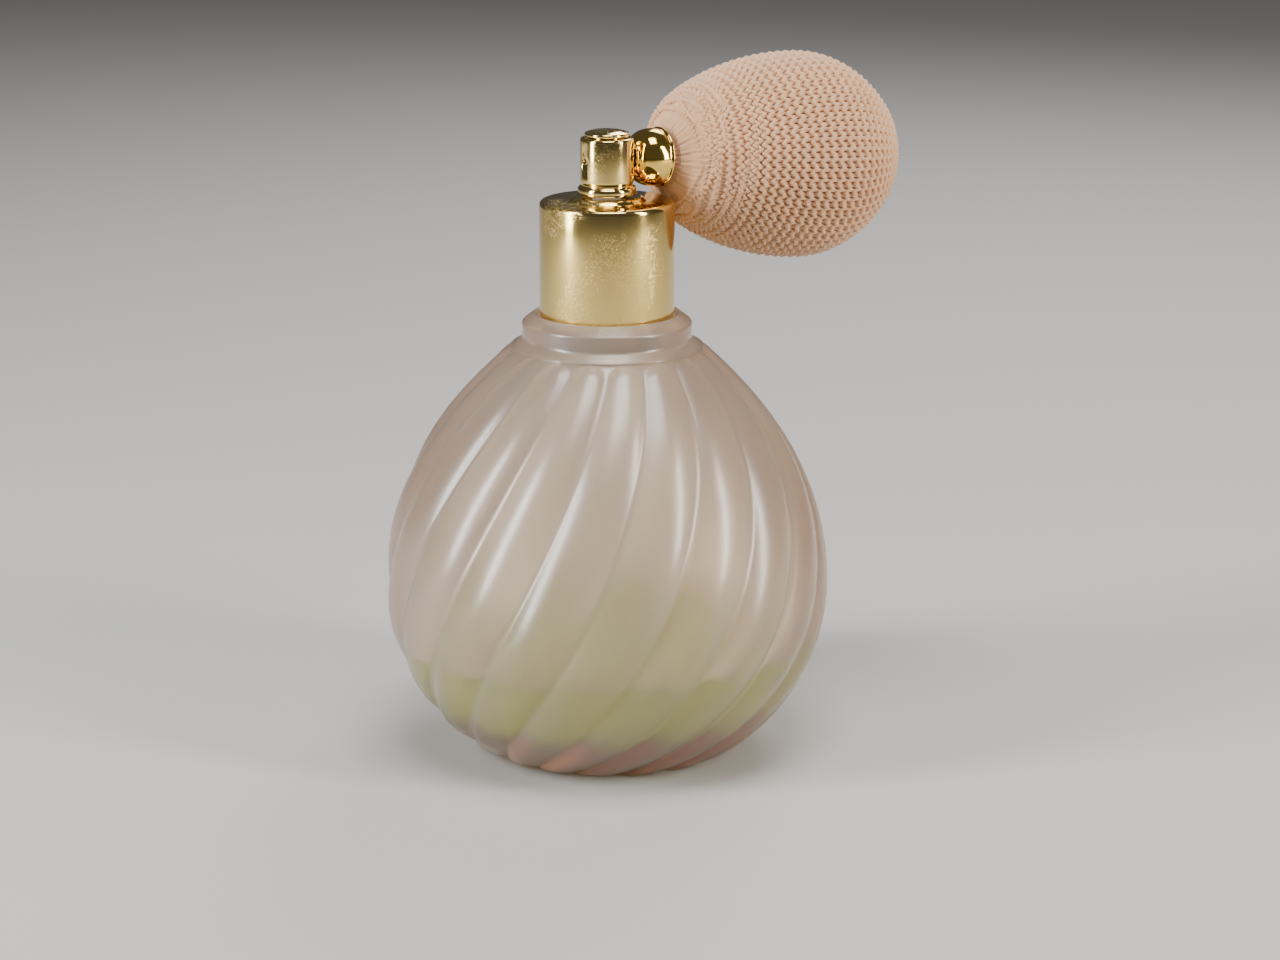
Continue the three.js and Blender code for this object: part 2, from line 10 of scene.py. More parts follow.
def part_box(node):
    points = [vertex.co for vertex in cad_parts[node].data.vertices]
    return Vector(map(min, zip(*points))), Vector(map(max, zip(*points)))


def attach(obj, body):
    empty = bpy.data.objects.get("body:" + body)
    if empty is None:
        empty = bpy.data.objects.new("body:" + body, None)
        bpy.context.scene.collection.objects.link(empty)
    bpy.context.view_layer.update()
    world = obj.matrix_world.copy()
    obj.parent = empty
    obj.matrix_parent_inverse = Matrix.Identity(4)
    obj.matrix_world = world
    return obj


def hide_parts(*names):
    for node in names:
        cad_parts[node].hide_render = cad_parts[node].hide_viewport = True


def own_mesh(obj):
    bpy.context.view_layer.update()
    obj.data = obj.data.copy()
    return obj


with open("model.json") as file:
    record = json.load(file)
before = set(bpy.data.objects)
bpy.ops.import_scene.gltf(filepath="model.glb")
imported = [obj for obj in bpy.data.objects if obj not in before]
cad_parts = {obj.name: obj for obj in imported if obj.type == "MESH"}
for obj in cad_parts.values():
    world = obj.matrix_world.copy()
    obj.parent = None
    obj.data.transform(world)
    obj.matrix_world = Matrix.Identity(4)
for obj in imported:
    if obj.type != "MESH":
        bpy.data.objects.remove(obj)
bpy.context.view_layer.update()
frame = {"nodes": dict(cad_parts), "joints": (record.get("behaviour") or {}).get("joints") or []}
MM = 0.001


# ---- Camera ----
# Standing a little above the bottle and to the left of the nozzle, so that the bulb points away to
# the right.

CAMERA_AZIMUTH = math.radians(-33)
CAMERA_PITCH = math.radians(14.6)
CAMERA_DISTANCE = 0.6
CAMERA_HEIGHT = 0.205

camera_data = bpy.data.cameras.new("camera")
camera_data.lens = 96.7
camera_data.sensor_width = 36
camera_data.shift_x = 0.0258
camera = bpy.data.objects.new("camera", camera_data)
camera.location = (
    CAMERA_DISTANCE * math.sin(CAMERA_AZIMUTH),
    -CAMERA_DISTANCE * math.cos(CAMERA_AZIMUTH),
    CAMERA_HEIGHT,
)
camera.rotation_euler = (math.pi / 2 - CAMERA_PITCH, 0, CAMERA_AZIMUTH)
bpy.context.collection.objects.link(camera)
bpy.context.scene.camera = camera


# ---- Floor and lights ----
# A pale matt floor, two tall soft boxes to the sides, and a softer one overhead.

def principled(name, colour, roughness, metallic=0.0):
    """A new material with a Principled shader, and the parts of its node tree."""
    material = bpy.data.materials.new(name)
    material.use_nodes = True
    nodes = material.node_tree.nodes
    shader = nodes["Principled BSDF"]
    shader.inputs["Base Color"].default_value = (*colour, 1)
    shader.inputs["Roughness"].default_value = roughness
    shader.inputs["Metallic"].default_value = metallic
    return material, nodes, material.node_tree.links, shader


floor_material = principled("pale_floor", (0.5, 0.49, 0.48), 0.85)[0]
floor_mesh = bpy.data.meshes.new("floor")
FLOOR_SIZE = 6.0
floor_mesh.from_pydata(
    [(x * FLOOR_SIZE, y * FLOOR_SIZE, 0) for x, y in ((-1, -1), (1, -1), (1, 1), (-1, 1))], [], [(0, 1, 2, 3)]
)
floor_mesh.materials.append(floor_material)
floor = bpy.data.objects.new("floor", floor_mesh)
bpy.context.collection.objects.link(floor)


def soft_box(name, azimuth, elevation, distance, size, power, colour=(1, 1, 1)):
    """An area light that faces the bottle. Azimuth is counted from the camera's side, to the right."""
    data = bpy.data.lights.new(name, "AREA")
    data.shape = "RECTANGLE"
    data.size, data.size_y = size
    data.energy = power
    data.color = colour
    light = bpy.data.objects.new(name, data)
    turn = CAMERA_AZIMUTH + math.radians(azimuth)
    rise = math.radians(elevation)
    away = Vector((math.sin(turn) * math.cos(rise), -math.cos(turn) * math.cos(rise), math.sin(rise)))
    light.location = Vector((0, 0, 0.06)) + away * distance
    light.rotation_euler = away.to_track_quat("Z", "Y").to_euler()
    bpy.context.collection.objects.link(light)


soft_box("left_box", -66, 20, 0.7, (0.15, 0.6), 7.5)
soft_box("right_box", 64, 22, 0.75, (0.12, 0.6), 6.2, (1.0, 0.94, 0.85))
soft_box("top_box", 15, 76, 0.8, (0.4, 0.35), 5.0)
soft_box("back_box", 158, 38, 0.8, (0.4, 0.3), 3.0)

world = bpy.data.worlds.new("world")
world.use_nodes = True
world.node_tree.nodes["Background"].inputs["Color"].default_value = (0.5, 0.5, 0.51, 1)
world.node_tree.nodes["Background"].inputs["Strength"].default_value = 0.16
bpy.context.scene.world = world


# ---- Bottle ----
# One piece of frosted glass. Round lobes run up it in a right-handed twist and end in scallops
# under a smooth band; above are the ring that the collar stands in and a screw neck.

def bezier(points, steps, crowding=1.0):
    """Points on a Bezier curve of any order, ends included. Above 1, crowding draws them to its end."""
    t = 1 - (1 - np.linspace(0, 1, steps + 1)[:, None]) ** crowding
    rows = [np.repeat(np.array([p], float), steps + 1, axis=0) for p in points]
    while len(rows) > 1:
        rows = [a * (1 - t) + b * t for a, b in zip(rows, rows[1:])]
    return rows[0]


def rounded(corners, steps=4):
    """An outline of (radius, height, rounding) corners, each rounded off by that much."""
    line = []
    count = len(corners)
    for i, (r, z, rounding) in enumerate(corners):
        here = np.array((r, z), float)
        if rounding == 0:
            line.append(here)
            continue
        before = np.array(corners[i - 1][:2], float) - here
        after = np.array(corners[(i + 1) % count][:2], float) - here
        reach_in = min(rounding, np.linalg.norm(before) * 0.48)
        reach_out = min(rounding, np.linalg.norm(after) * 0.48)
        start = here + before / np.linalg.norm(before) * reach_in
        end = here + after / np.linalg.norm(after) * reach_out
        line.extend(bezier([start, here, end], steps))
    return np.array(line)


def turned(name, outline, sides, closed=True, place=None, sharp=40):
    """A mesh turned about the Z axis from an outline in millimetres, then put in its place."""
    outline = np.asarray(outline, float) * MM
    angles = np.arange(sides) * 2 * math.pi / sides
    grid = np.zeros((sides, len(outline), 3))
    grid[..., 0] = outline[None, :, 0] * np.cos(angles)[:, None]
    grid[..., 1] = outline[None, :, 0] * np.sin(angles)[:, None]
    grid[..., 2] = outline[None, :, 1]
    levels = len(outline)
    last = levels if closed else levels - 1
    faces = []
    for i in range(sides):
        for j in range(last):
            a, b = i * levels, ((i + 1) % sides) * levels
            k = (j + 1) % levels
            faces.append((a + j, b + j, b + k, a + k))
    mesh = bpy.data.meshes.new(name)
    mesh.from_pydata(grid.reshape(-1, 3).tolist(), [], faces)
    tidy = bmesh.new()
    tidy.from_mesh(mesh)
    bmesh.ops.remove_doubles(tidy, verts=tidy.verts, dist=1e-7)
    bmesh.ops.dissolve_degenerate(tidy, edges=tidy.edges, dist=1e-8)
    bmesh.ops.recalc_face_normals(tidy, faces=tidy.faces)
    tidy.to_mesh(mesh)
    tidy.free()
    if place is not None:
        mesh.transform(place)
    mesh.shade_smooth()
    mesh.set_sharp_from_angle(angle=math.radians(sharp))
    piece = bpy.data.objects.new(name, mesh)
    bpy.context.collection.objects.link(piece)
    return piece


def finished(piece, material, body, slot, *nodes):
    """Gives a piece its material and its CAD body, and hides the CAD nodes it stands for. The slot is not
    used.
    """
    piece.data.materials.clear()
    piece.data.materials.append(material)
    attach(piece, body)
    if nodes:
        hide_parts(*nodes)
    return piece


neck_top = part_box("bottle")[1].z / MM
body_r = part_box("bottle")[1].x / MM
collar_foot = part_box("collar_shell")[0].z / MM
collar_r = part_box("collar_shell")[1].x / MM

BELLY_Z = 30
SHOULDER_Z = 73.6
SHOULDER_R = 17.65
FOOT_R = 22.4
RIB_COUNT = 18
RIB_DEPTH = 1.5
RIB_DEPTH_TOP = 1.0
SCALLOP = 2
LEAN_TOP = math.radians(8)
LEAN_FOOT = math.radians(43)
RIB_PHASE = math.radians(8)
RING_R = 15.15
BAND_TOP = SHOULDER_Z + 1.6
MOAT_R = collar_r + 0.35
MOAT_FLOOR = collar_foot - 1
NECK_R = 9
THREAD_DEPTH = 0.85
THREAD_PITCH = 3.175
THREAD_TURNS = 1.5
BORE_R = 6.5
BORE_LOW = 78
GLASS_WALL = 5
GLASS_BASE = 9.2


def side_line(lower_steps, upper_steps):
    """The bottle's side over the crests of the ribs, from the foot to the shoulder."""
    lower = bezier([(FOOT_R, 0), (FOOT_R + 9.4, 5), (body_r, BELLY_Z - 14), (body_r, BELLY_Z)], lower_steps)
    upper = bezier(
        [
            (body_r, BELLY_Z),
            (body_r, BELLY_Z + 20),
            (SHOULDER_R + 11, SHOULDER_Z - 10),
            (SHOULDER_R, SHOULDER_Z),
        ],
        upper_steps,
        crowding=1.5,
    )
    return np.vstack([lower, upper[1:]])


def inset(line, distance):
    """A line moved towards the axis, square to itself."""
    along = np.gradient(line, axis=0)
    along /= np.linalg.norm(along, axis=1)[:, None]
    return line + np.column_stack([-along[:, 1], along[:, 0]]) * distance


def turned_bottle():
    """The plain turned bottle, with what the ribs and the thread need to know at each point."""
    side = side_line(30, 64)
    fade = np.clip((SHOULDER_Z - side[:, 1]) / 24, 0, 1)
    depth = RIB_DEPTH_TOP + (RIB_DEPTH - RIB_DEPTH_TOP) * fade
    lean = LEAN_FOOT + (LEAN_TOP - LEAN_FOOT) * side[:, 1] / SHOULDER_Z
    steps = np.linalg.norm(np.diff(side, axis=0), axis=1)
    middle = (side[1:, 0] + side[:-1, 0]) / 2
    bend = steps * np.tan((lean[1:] + lean[:-1]) / 2) / middle
    turn = np.concatenate([-np.cumsum(bend[::-1])[::-1], [0]])
    crease = side - np.column_stack([depth, np.zeros_like(depth)])
    foot = bezier([(crease[0, 0] - 3, 0), (crease[0, 0] - 0.4, 0), crease[1]], 4)
    rise = rounded(
        [
            (crease[-1, 0], SHOULDER_Z, 0),
            (RING_R + 1.3, SHOULDER_Z + 0.5, 0.8),
            (RING_R - 0.1, BAND_TOP, 0.45),
            (RING_R, MOAT_FLOOR + 0.5, 0.35),
            (MOAT_R + 0.5, MOAT_FLOOR + 2.2, 0.35),
            (MOAT_R, MOAT_FLOOR + 1.8, 0.3),
            (MOAT_R, MOAT_FLOOR, 0.4),
            (NECK_R, MOAT_FLOOR, 0.4),
        ],
        6,
    )[1:]
    rise = np.vstack([[[RING_R + 2.0, SHOULDER_Z + 0.25]], rise])
    neck = np.column_stack([np.full(56, NECK_R), np.linspace(MOAT_FLOOR + 0.6, neck_top - 0.8, 56)])
    lip = rounded(
        [
            (NECK_R, neck_top - 0.7, 0),
            (NECK_R, neck_top, 0.6),
            (BORE_R, neck_top, 0.6),
            (BORE_R, BORE_LOW, 0),
        ],
        5,
    )[1:]
    hollow = inset(side_line(12, 16), GLASS_WALL)
    hollow = hollow[(hollow[:, 1] > GLASS_BASE + 2) & (hollow[:, 1] < SHOULDER_Z - 3)][::-1]
    top_r, top_z = hollow[0]
    throat = bezier(
        [(BORE_R, BORE_LOW), (BORE_R, BORE_LOW - 3.5), (top_r - 3, top_z + 2.8), (top_r, top_z)], 8
    )[1:-1]
    low_r = hollow[-1, 0]
    floor_bend = bezier([hollow[-1], (low_r - 1.5, GLASS_BASE), (low_r - 6, GLASS_BASE)], 6)[1:]
    middle_of_floor = [(floor_bend[-1, 0] * 0.5, GLASS_BASE), (0, GLASS_BASE)]
    outside = [[(0, 0)], foot[:-1], crease[1:], rise, neck, lip]
    outline = np.vstack(outside + [throat, hollow, floor_bend, middle_of_floor])
    first = len(foot)
    facts = np.zeros((len(outline), 3))
    facts[first : first + len(crease) - 1, 0] = turn[1:]
    facts[first : first + len(crease) - 1, 1] = depth[1:]
    facts[1:first, 0] = turn[0]
    facts[2:first, 1] = depth[0] * np.linspace(0, 1, first - 2)
    neck_start = first + len(crease) - 1 + len(rise)
    facts[neck_start : neck_start + len(neck), 2] = 1
    return outline, facts


def bottle_base(sides):
    """The turned bottle as a mesh with its facts stored on the points."""
    outline, facts = turned_bottle()
    levels = len(outline)
    angles = np.arange(sides) * 2 * math.pi / sides
    angle = angles[:, None] + facts[None, :, 0] + RIB_PHASE
    radius = outline[None, :, 0]
    height = np.broadcast_to(outline[:, 1], angle.shape)
    grid = np.stack([radius * np.cos(angle), radius * np.sin(angle), height], axis=-1)
    strips = [(i * levels, (i + 1) % sides * levels) for i in range(sides)]
    faces = [(a + j, b + j, b + j + 1, a + j + 1) for a, b in strips for j in range(levels - 1)]
    mesh = bpy.data.meshes.new("bottle_glass")
    mesh.from_pydata((grid * MM).reshape(-1, 3).tolist(), [], faces)
    for column, name in enumerate(("rib_turn", "rib_depth", "on_neck")):
        scale = MM if name == "rib_depth" else 1
        values = np.tile(facts[:, column] * scale, sides).astype(np.float32)
        mesh.attributes.new(name, "FLOAT", "POINT").data.foreach_set("value", values)
    tidy = bmesh.new()
    tidy.from_mesh(mesh)
    bmesh.ops.remove_doubles(tidy, verts=tidy.verts, dist=1e-7)
    bmesh.ops.recalc_face_normals(tidy, faces=tidy.faces)
    tidy.to_mesh(mesh)
    tidy.free()
    return mesh


class Tree:
    """A Geometry Nodes tree that is written as a sum: each call adds one node and gives its output."""

    def __init__(self, name, inputs):
        self.group = bpy.data.node_groups.new(name, "GeometryNodeTree")
        face = self.group.interface
        face.new_socket("Geometry", in_out="INPUT", socket_type="NodeSocketGeometry")
        for title, kind, value in inputs:
            socket = face.new_socket(title, in_out="INPUT", socket_type=kind)
            if value is not None:
                socket.default_value = value
        face.new_socket("Geometry", in_out="OUTPUT", socket_type="NodeSocketGeometry")
        self.source = self.group.nodes.new("NodeGroupInput")
        self.sink = self.group.nodes.new("NodeGroupOutput")

    def given(self, title):
        return self.source.outputs[title]

    def node(self, kind, inputs=(), output=0, **settings):
        made = self.group.nodes.new(kind)
        for key, value in settings.items():
            setattr(made, key, value)
        for socket, value in dict(inputs).items():
            self.feed(made.inputs[socket], value)
        return made.outputs[output]

    def feed(self, socket, value):
        if isinstance(value, bpy.types.NodeSocket):
            self.group.links.new(value, socket)
        else:
            socket.default_value = value

    def math(self, operation, *values):
        return self.node("ShaderNodeMath", enumerate(values), operation=operation)

    def vector(self, operation, first, second=None, scale=None):
        inputs = {0: first}
        if second is not None:
            inputs[1] = second
        if scale is not None:
            inputs["Scale"] = scale
        return self.node("ShaderNodeVectorMath", inputs, operation=operation)

    def attribute(self, name):
        return self.node("GeometryNodeInputNamedAttribute", {"Name": name}, data_type="FLOAT")

    def finish(self, geometry, material):
        """Realises everything, sets the material and gives the result out."""
        real = self.node("GeometryNodeRealizeInstances", {0: geometry})
        painted = self.node("GeometryNodeSetMaterial", {"Geometry": real, "Material": material})
        self.feed(self.sink.inputs[0], painted)
        return self.group


def grown(name, base, group, **values):
    """Runs a Geometry Nodes group on a mesh or curve, with its inputs set, and keeps the result."""
    holder = bpy.data.objects.new(name + "_base", base)
    bpy.context.collection.objects.link(holder)
    modifier = holder.modifiers.new("grow", "NODES")
    modifier.node_group = group
    sockets = [item for item in group.interface.items_tree if item.in_out == "INPUT"]
    titles = {socket.name: socket.identifier for socket in sockets}
    for title, value in values.items():
        modifier[titles[title.replace("_", " ")]] = value
    evaluated = holder.evaluated_get(bpy.context.evaluated_depsgraph_get())
    mesh = bpy.data.meshes.new_from_object(evaluated)
    mesh.name = name
    bpy.data.objects.remove(holder)
    piece = bpy.data.objects.new(name, mesh)
    bpy.context.collection.objects.link(piece)
    return piece


CREST_END = 0.0012  # metres over which a crest runs out under the band


def rib_tree():
    """Presses the lobes and the screw thread out of the plain turned bottle."""
    tree = Tree(
        "pressed_ribs",
        [
            ("Ribs", "NodeSocketInt", 18),
            ("Phase", "NodeSocketFloat", 0.0),
            ("Shoulder", "NodeSocketFloat", 0.07),
            ("Scallop", "NodeSocketFloat", 0.001),
            ("Thread Low", "NodeSocketFloat", 0.08),
            ("Thread Pitch", "NodeSocketFloat", 0.003),
            ("Thread Turns", "NodeSocketFloat", 1.5),
            ("Thread Depth", "NodeSocketFloat", 0.001),
            ("Glass", "NodeSocketMaterial", None),
        ],
    )
    place = tree.node("GeometryNodeInputPosition")
    split = tree.group.nodes.new("ShaderNodeSeparateXYZ")
    tree.feed(split.inputs[0], place)
    x, y, z = split.outputs
    angle = tree.math("ARCTAN2", y, x)
    outward = tree.vector("NORMALIZE", tree.vector("MULTIPLY", place, (1, 1, 0)))
    untwisted = tree.math("SUBTRACT", angle, tree.attribute("rib_turn"))
    round_rib = tree.math("SUBTRACT", untwisted, tree.given("Phase"))
    ribs_per_radian = tree.math("DIVIDE", tree.given("Ribs"), 2 * math.pi)
    share = tree.math("FRACT", tree.math("MULTIPLY", round_rib, ribs_per_radian))
    from_crest = tree.math("MULTIPLY", tree.math("PINGPONG", share, 0.5), 2)
    hump = tree.math("SUBTRACT", 1, tree.math("POWER", from_crest, 2))
    end = tree.math(
        "SUBTRACT",
        tree.given("Shoulder"),
        tree.math("MULTIPLY", tree.given("Scallop"), tree.math("POWER", from_crest, 2)),
    )
    left = tree.math("DIVIDE", tree.math("SUBTRACT", end, z), CREST_END)
    cap = tree.math("SQRT", tree.math("MINIMUM", tree.math("MAXIMUM", left, 0), 1))
    lobe = tree.math("MULTIPLY", tree.math("MULTIPLY", hump, cap), tree.attribute("rib_depth"))
    round_share = tree.math("FRACT", tree.math("ADD", tree.math("DIVIDE", angle, 2 * math.pi), 1))
    above = tree.math("SUBTRACT", z, tree.given("Thread Low"))
    climbed = tree.math("DIVIDE", above, tree.given("Thread Pitch"))
    whole_turn = tree.math("FLOOR", tree.math("ADD", tree.math("SUBTRACT", climbed, round_share), 0.5))
    along = tree.math("ADD", whole_turn, round_share)
    aside = tree.math("ABSOLUTE", tree.math("SUBTRACT", climbed, along))
    ridge = tree.node(
        "ShaderNodeMapRange",
        {"Value": aside, "From Min": 0.1, "From Max": 0.26, "To Min": 1, "To Max": 0},
        interpolation_type="SMOOTHSTEP",
    )
    ends = tree.math("MINIMUM", along, tree.math("SUBTRACT", tree.given("Thread Turns"), along))
    run_out = tree.node("ShaderNodeMapRange", {"Value": ends, "From Min": 0, "From Max": 0.12})
    screw = tree.math("MULTIPLY", tree.math("MULTIPLY", ridge, run_out), tree.attribute("on_neck"))
    push = tree.math("ADD", lobe, tree.math("MULTIPLY", screw, tree.given("Thread Depth")))
    pressed = tree.node(
        "GeometryNodeSetPosition",
        {"Geometry": tree.given("Geometry"), "Offset": tree.vector("SCALE", outward, scale=push)},
    )
    smooth = tree.node("GeometryNodeSetShadeSmooth", {"Geometry": pressed})
    return tree.finish(smooth, tree.given("Glass"))


def speck_group():
    """Tiny scattered spots, as dust and chips. Puts out a mask: 1 on a spot."""
    group = bpy.data.node_groups.new("specks", "ShaderNodeTree")
    face = group.interface
    face.new_socket("Scale", in_out="INPUT", socket_type="NodeSocketFloat").default_value = 400
    face.new_socket("Share", in_out="INPUT", socket_type="NodeSocketFloat").default_value = 0.1
    face.new_socket("Size", in_out="INPUT", socket_type="NodeSocketFloat").default_value = 0.15
    face.new_socket("Mask", in_out="OUTPUT", socket_type="NodeSocketFloat")
    nodes, links = group.nodes, group.links
    given, out = nodes.new("NodeGroupInput"), nodes.new("NodeGroupOutput")
    place = nodes.new("ShaderNodeTexCoord")
    cells = nodes.new("ShaderNodeTexVoronoi")
    links.new(place.outputs["Object"], cells.inputs["Vector"])
    links.new(given.outputs["Scale"], cells.inputs["Scale"])
    near = nodes.new("ShaderNodeMath")
    near.operation = "LESS_THAN"
    links.new(cells.outputs["Distance"], near.inputs[0])
    links.new(given.outputs["Size"], near.inputs[1])
    chosen = nodes.new("ShaderNodeMath")
    chosen.operation = "LESS_THAN"
    channel = nodes.new("ShaderNodeSeparateColor")
    links.new(cells.outputs["Color"], channel.inputs[0])
    links.new(channel.outputs[0], chosen.inputs[0])
    links.new(given.outputs["Share"], chosen.inputs[1])
    both = nodes.new("ShaderNodeMath")
    both.operation = "MULTIPLY"
    links.new(near.outputs[0], both.inputs[0])
    links.new(chosen.outputs[0], both.inputs[1])
    links.new(both.outputs[0], out.inputs["Mask"])
    return group


specks = speck_group()


def use_group(nodes, group, **values):
    """Places a shader group in a material with its own values."""
    node = nodes.new("ShaderNodeGroup")
    node.node_tree = group
    for name, value in values.items():
        node.inputs[name].default_value = value
    return node


def mixed(nodes, links, factor, first, second):
    """A colour between two, by a mask."""
    mix = nodes.new("ShaderNodeMix")
    mix.data_type = "RGBA"
    links.new(factor, mix.inputs["Factor"])
    for socket, value in ((mix.inputs[6], first), (mix.inputs[7], second)):
        if isinstance(value, bpy.types.NodeSocket):
            links.new(value, socket)
        else:
            socket.default_value = (*value, 1)
    return mix.outputs[2]


def frosted_glass():
    """Frosted pink glass: rough, clouded, tinted by its thickness, with a few chips and specks."""
    material, nodes, links, shader = principled("frosted_glass", (0.97, 0.91, 0.86), 0.3)
    shader.inputs["Transmission Weight"].default_value = 0.9
    shader.inputs["Coat Weight"].default_value = 0.6
    shader.inputs["Coat Roughness"].default_value = 0.22
    shader.inputs["IOR"].default_value = 1.5
    place = nodes.new("ShaderNodeTexCoord")
    cloud = nodes.new("ShaderNodeTexNoise")
    cloud.inputs["Scale"].default_value = 90
    cloud.inputs["Detail"].default_value = 4
    links.new(place.outputs["Object"], cloud.inputs["Vector"])
    rough = nodes.new("ShaderNodeMapRange")
    rough.inputs["To Min"].default_value = 0.27
    rough.inputs["To Max"].default_value = 0.38
    links.new(cloud.outputs["Fac"], rough.inputs["Value"])
    links.new(rough.outputs[0], shader.inputs["Roughness"])
    chips = use_group(nodes, specks, Scale=170, Share=0.12, Size=0.08)
    colour = mixed(nodes, links, chips.outputs[0], (0.97, 0.91, 0.86), (1.0, 0.98, 0.95))
    links.new(colour, shader.inputs["Base Color"])
    grain = nodes.new("ShaderNodeTexNoise")
    grain.inputs["Scale"].default_value = 2600
    links.new(place.outputs["Object"], grain.inputs["Vector"])
    bump = nodes.new("ShaderNodeBump")
    bump.inputs["Strength"].default_value = 0.12
    bump.inputs["Distance"].default_value = 0.0001
    links.new(grain.outputs["Fac"], bump.inputs["Height"])
    links.new(bump.outputs["Normal"], shader.inputs["Normal"])
    tint = nodes.new("ShaderNodeVolumeAbsorption")
    tint.inputs["Color"].default_value = (0.97, 0.77, 0.47, 1)
    tint.inputs["Density"].default_value = 95
    links.new(tint.outputs[0], nodes["Material Output"].inputs["Volume"])
    return material


glass = frosted_glass()
bottle = grown(
    "bottle_glass",
    bottle_base(252),
    rib_tree(),
    Ribs=RIB_COUNT,
    Phase=RIB_PHASE,
    Shoulder=SHOULDER_Z * MM,
    Scallop=SCALLOP * MM,
    Thread_Low=(neck_top - 2 - THREAD_PITCH * THREAD_TURNS) * MM,
    Thread_Pitch=THREAD_PITCH * MM,
    Thread_Turns=THREAD_TURNS,
    Thread_Depth=THREAD_DEPTH * MM,
    Glass=glass,
)
finished(bottle, glass, "bottle", "frosted_glass", "bottle")


# ---- Perfume ----
# The last of an old yellow-green perfume, lying on the thick floor of the bottle and filling it out
# to just inside the inner face of the glass.

PERFUME_LEVEL = 21


def perfume_material():
    material, nodes, links, shader = principled("old_perfume", (0.78, 0.82, 0.2), 0.1)
    shader.inputs["Transmission Weight"].default_value = 0.35
    shader.inputs["IOR"].default_value = 1.36
    place = nodes.new("ShaderNodeTexCoord")
    cloud = nodes.new("ShaderNodeTexNoise")
    cloud.inputs["Scale"].default_value = 60
    links.new(place.outputs["Object"], cloud.inputs["Vector"])
    colour = mixed(nodes, links, cloud.outputs["Fac"], (0.42, 0.62, 0.005), (0.66, 0.76, 0.02))
    links.new(colour, shader.inputs["Base Color"])
    return material


wall = inset(side_line(12, 16), GLASS_WALL - 0.15)
wet = wall[(wall[:, 1] > GLASS_BASE + 2) & (wall[:, 1] < PERFUME_LEVEL)]
perfume_line = np.vstack(
    [
        [(0, GLASS_BASE - 0.1)],
        bezier([(wet[0, 0] - 6, GLASS_BASE - 0.1), (wet[0, 0] - 1.5, GLASS_BASE - 0.1), wet[0]], 6),
        wet[1:],
        bezier([wet[-1] + (0.9, 1.4), wet[-1] + (-0.3, 0.5), (wet[-1, 0] - 2, wet[-1, 1] + 0.4)], 5),
        [(0, wet[-1, 1] + 0.4)],
    ]
)
perfume = turned("perfume", perfume_line, 96, closed=False)
finished(perfume, perfume_material(), "bottle", "frosted_glass")


# ---- Gold collar ----
# A thin gold-coloured metal shell over the screw cap. Handling has scratched and dulled it, and it
# carries some dust.

def scuff_group():
    """Fine wandering scratches and dull patches on polished metal."""
    group = bpy.data.node_groups.new("scuffs", "ShaderNodeTree")
    face = group.interface
    face.new_socket("Scale", in_out="INPUT", socket_type="NodeSocketFloat").default_value = 260
    face.new_socket("Scratch", in_out="OUTPUT", socket_type="NodeSocketFloat")
    face.new_socket("Dull", in_out="OUTPUT", socket_type="NodeSocketFloat")
    nodes, links = group.nodes, group.links
    given, out = nodes.new("NodeGroupInput"), nodes.new("NodeGroupOutput")
    place = nodes.new("ShaderNodeTexCoord")
    curls = nodes.new("ShaderNodeTexNoise")
    curls.inputs["Detail"].default_value = 4
    curls.inputs["Distortion"].default_value = 0.6
    links.new(place.outputs["Object"], curls.inputs["Vector"])
    links.new(given.outputs["Scale"], curls.inputs["Scale"])
    level = nodes.new("ShaderNodeMath")
    level.operation = "SUBTRACT"
    level.inputs[1].default_value = 0.5
    links.new(curls.outputs["Fac"], level.inputs[0])
    size = nodes.new("ShaderNodeMath")
    size.operation = "ABSOLUTE"
    links.new(level.outputs[0], size.inputs[0])
    thin = nodes.new("ShaderNodeMapRange")
    thin.inputs["From Min"].default_value = 0.0
    thin.inputs["From Max"].default_value = 0.014
    thin.inputs["To Min"].default_value = 1.0
    thin.inputs["To Max"].default_value = 0.0
    links.new(size.outputs[0], thin.inputs["Value"])
    patch = nodes.new("ShaderNodeTexNoise")
    patch.inputs["Scale"].default_value = 75
    patch.inputs["Detail"].default_value = 5
    links.new(place.outputs["Object"], patch.inputs["Vector"])
    some = nodes.new("ShaderNodeMapRange")
    some.inputs["From Min"].default_value = 0.5
    some.inputs["From Max"].default_value = 0.64
    links.new(patch.outputs["Fac"], some.inputs["Value"])
    both = nodes.new("ShaderNodeMath")
    both.operation = "MULTIPLY"
    links.new(thin.outputs[0], both.inputs[0])
    links.new(some.outputs[0], both.inputs[1])
    links.new(both.outputs[0], out.inputs["Scratch"])
    links.new(patch.outputs["Fac"], out.inputs["Dull"])
    return group


scuffs = scuff_group()


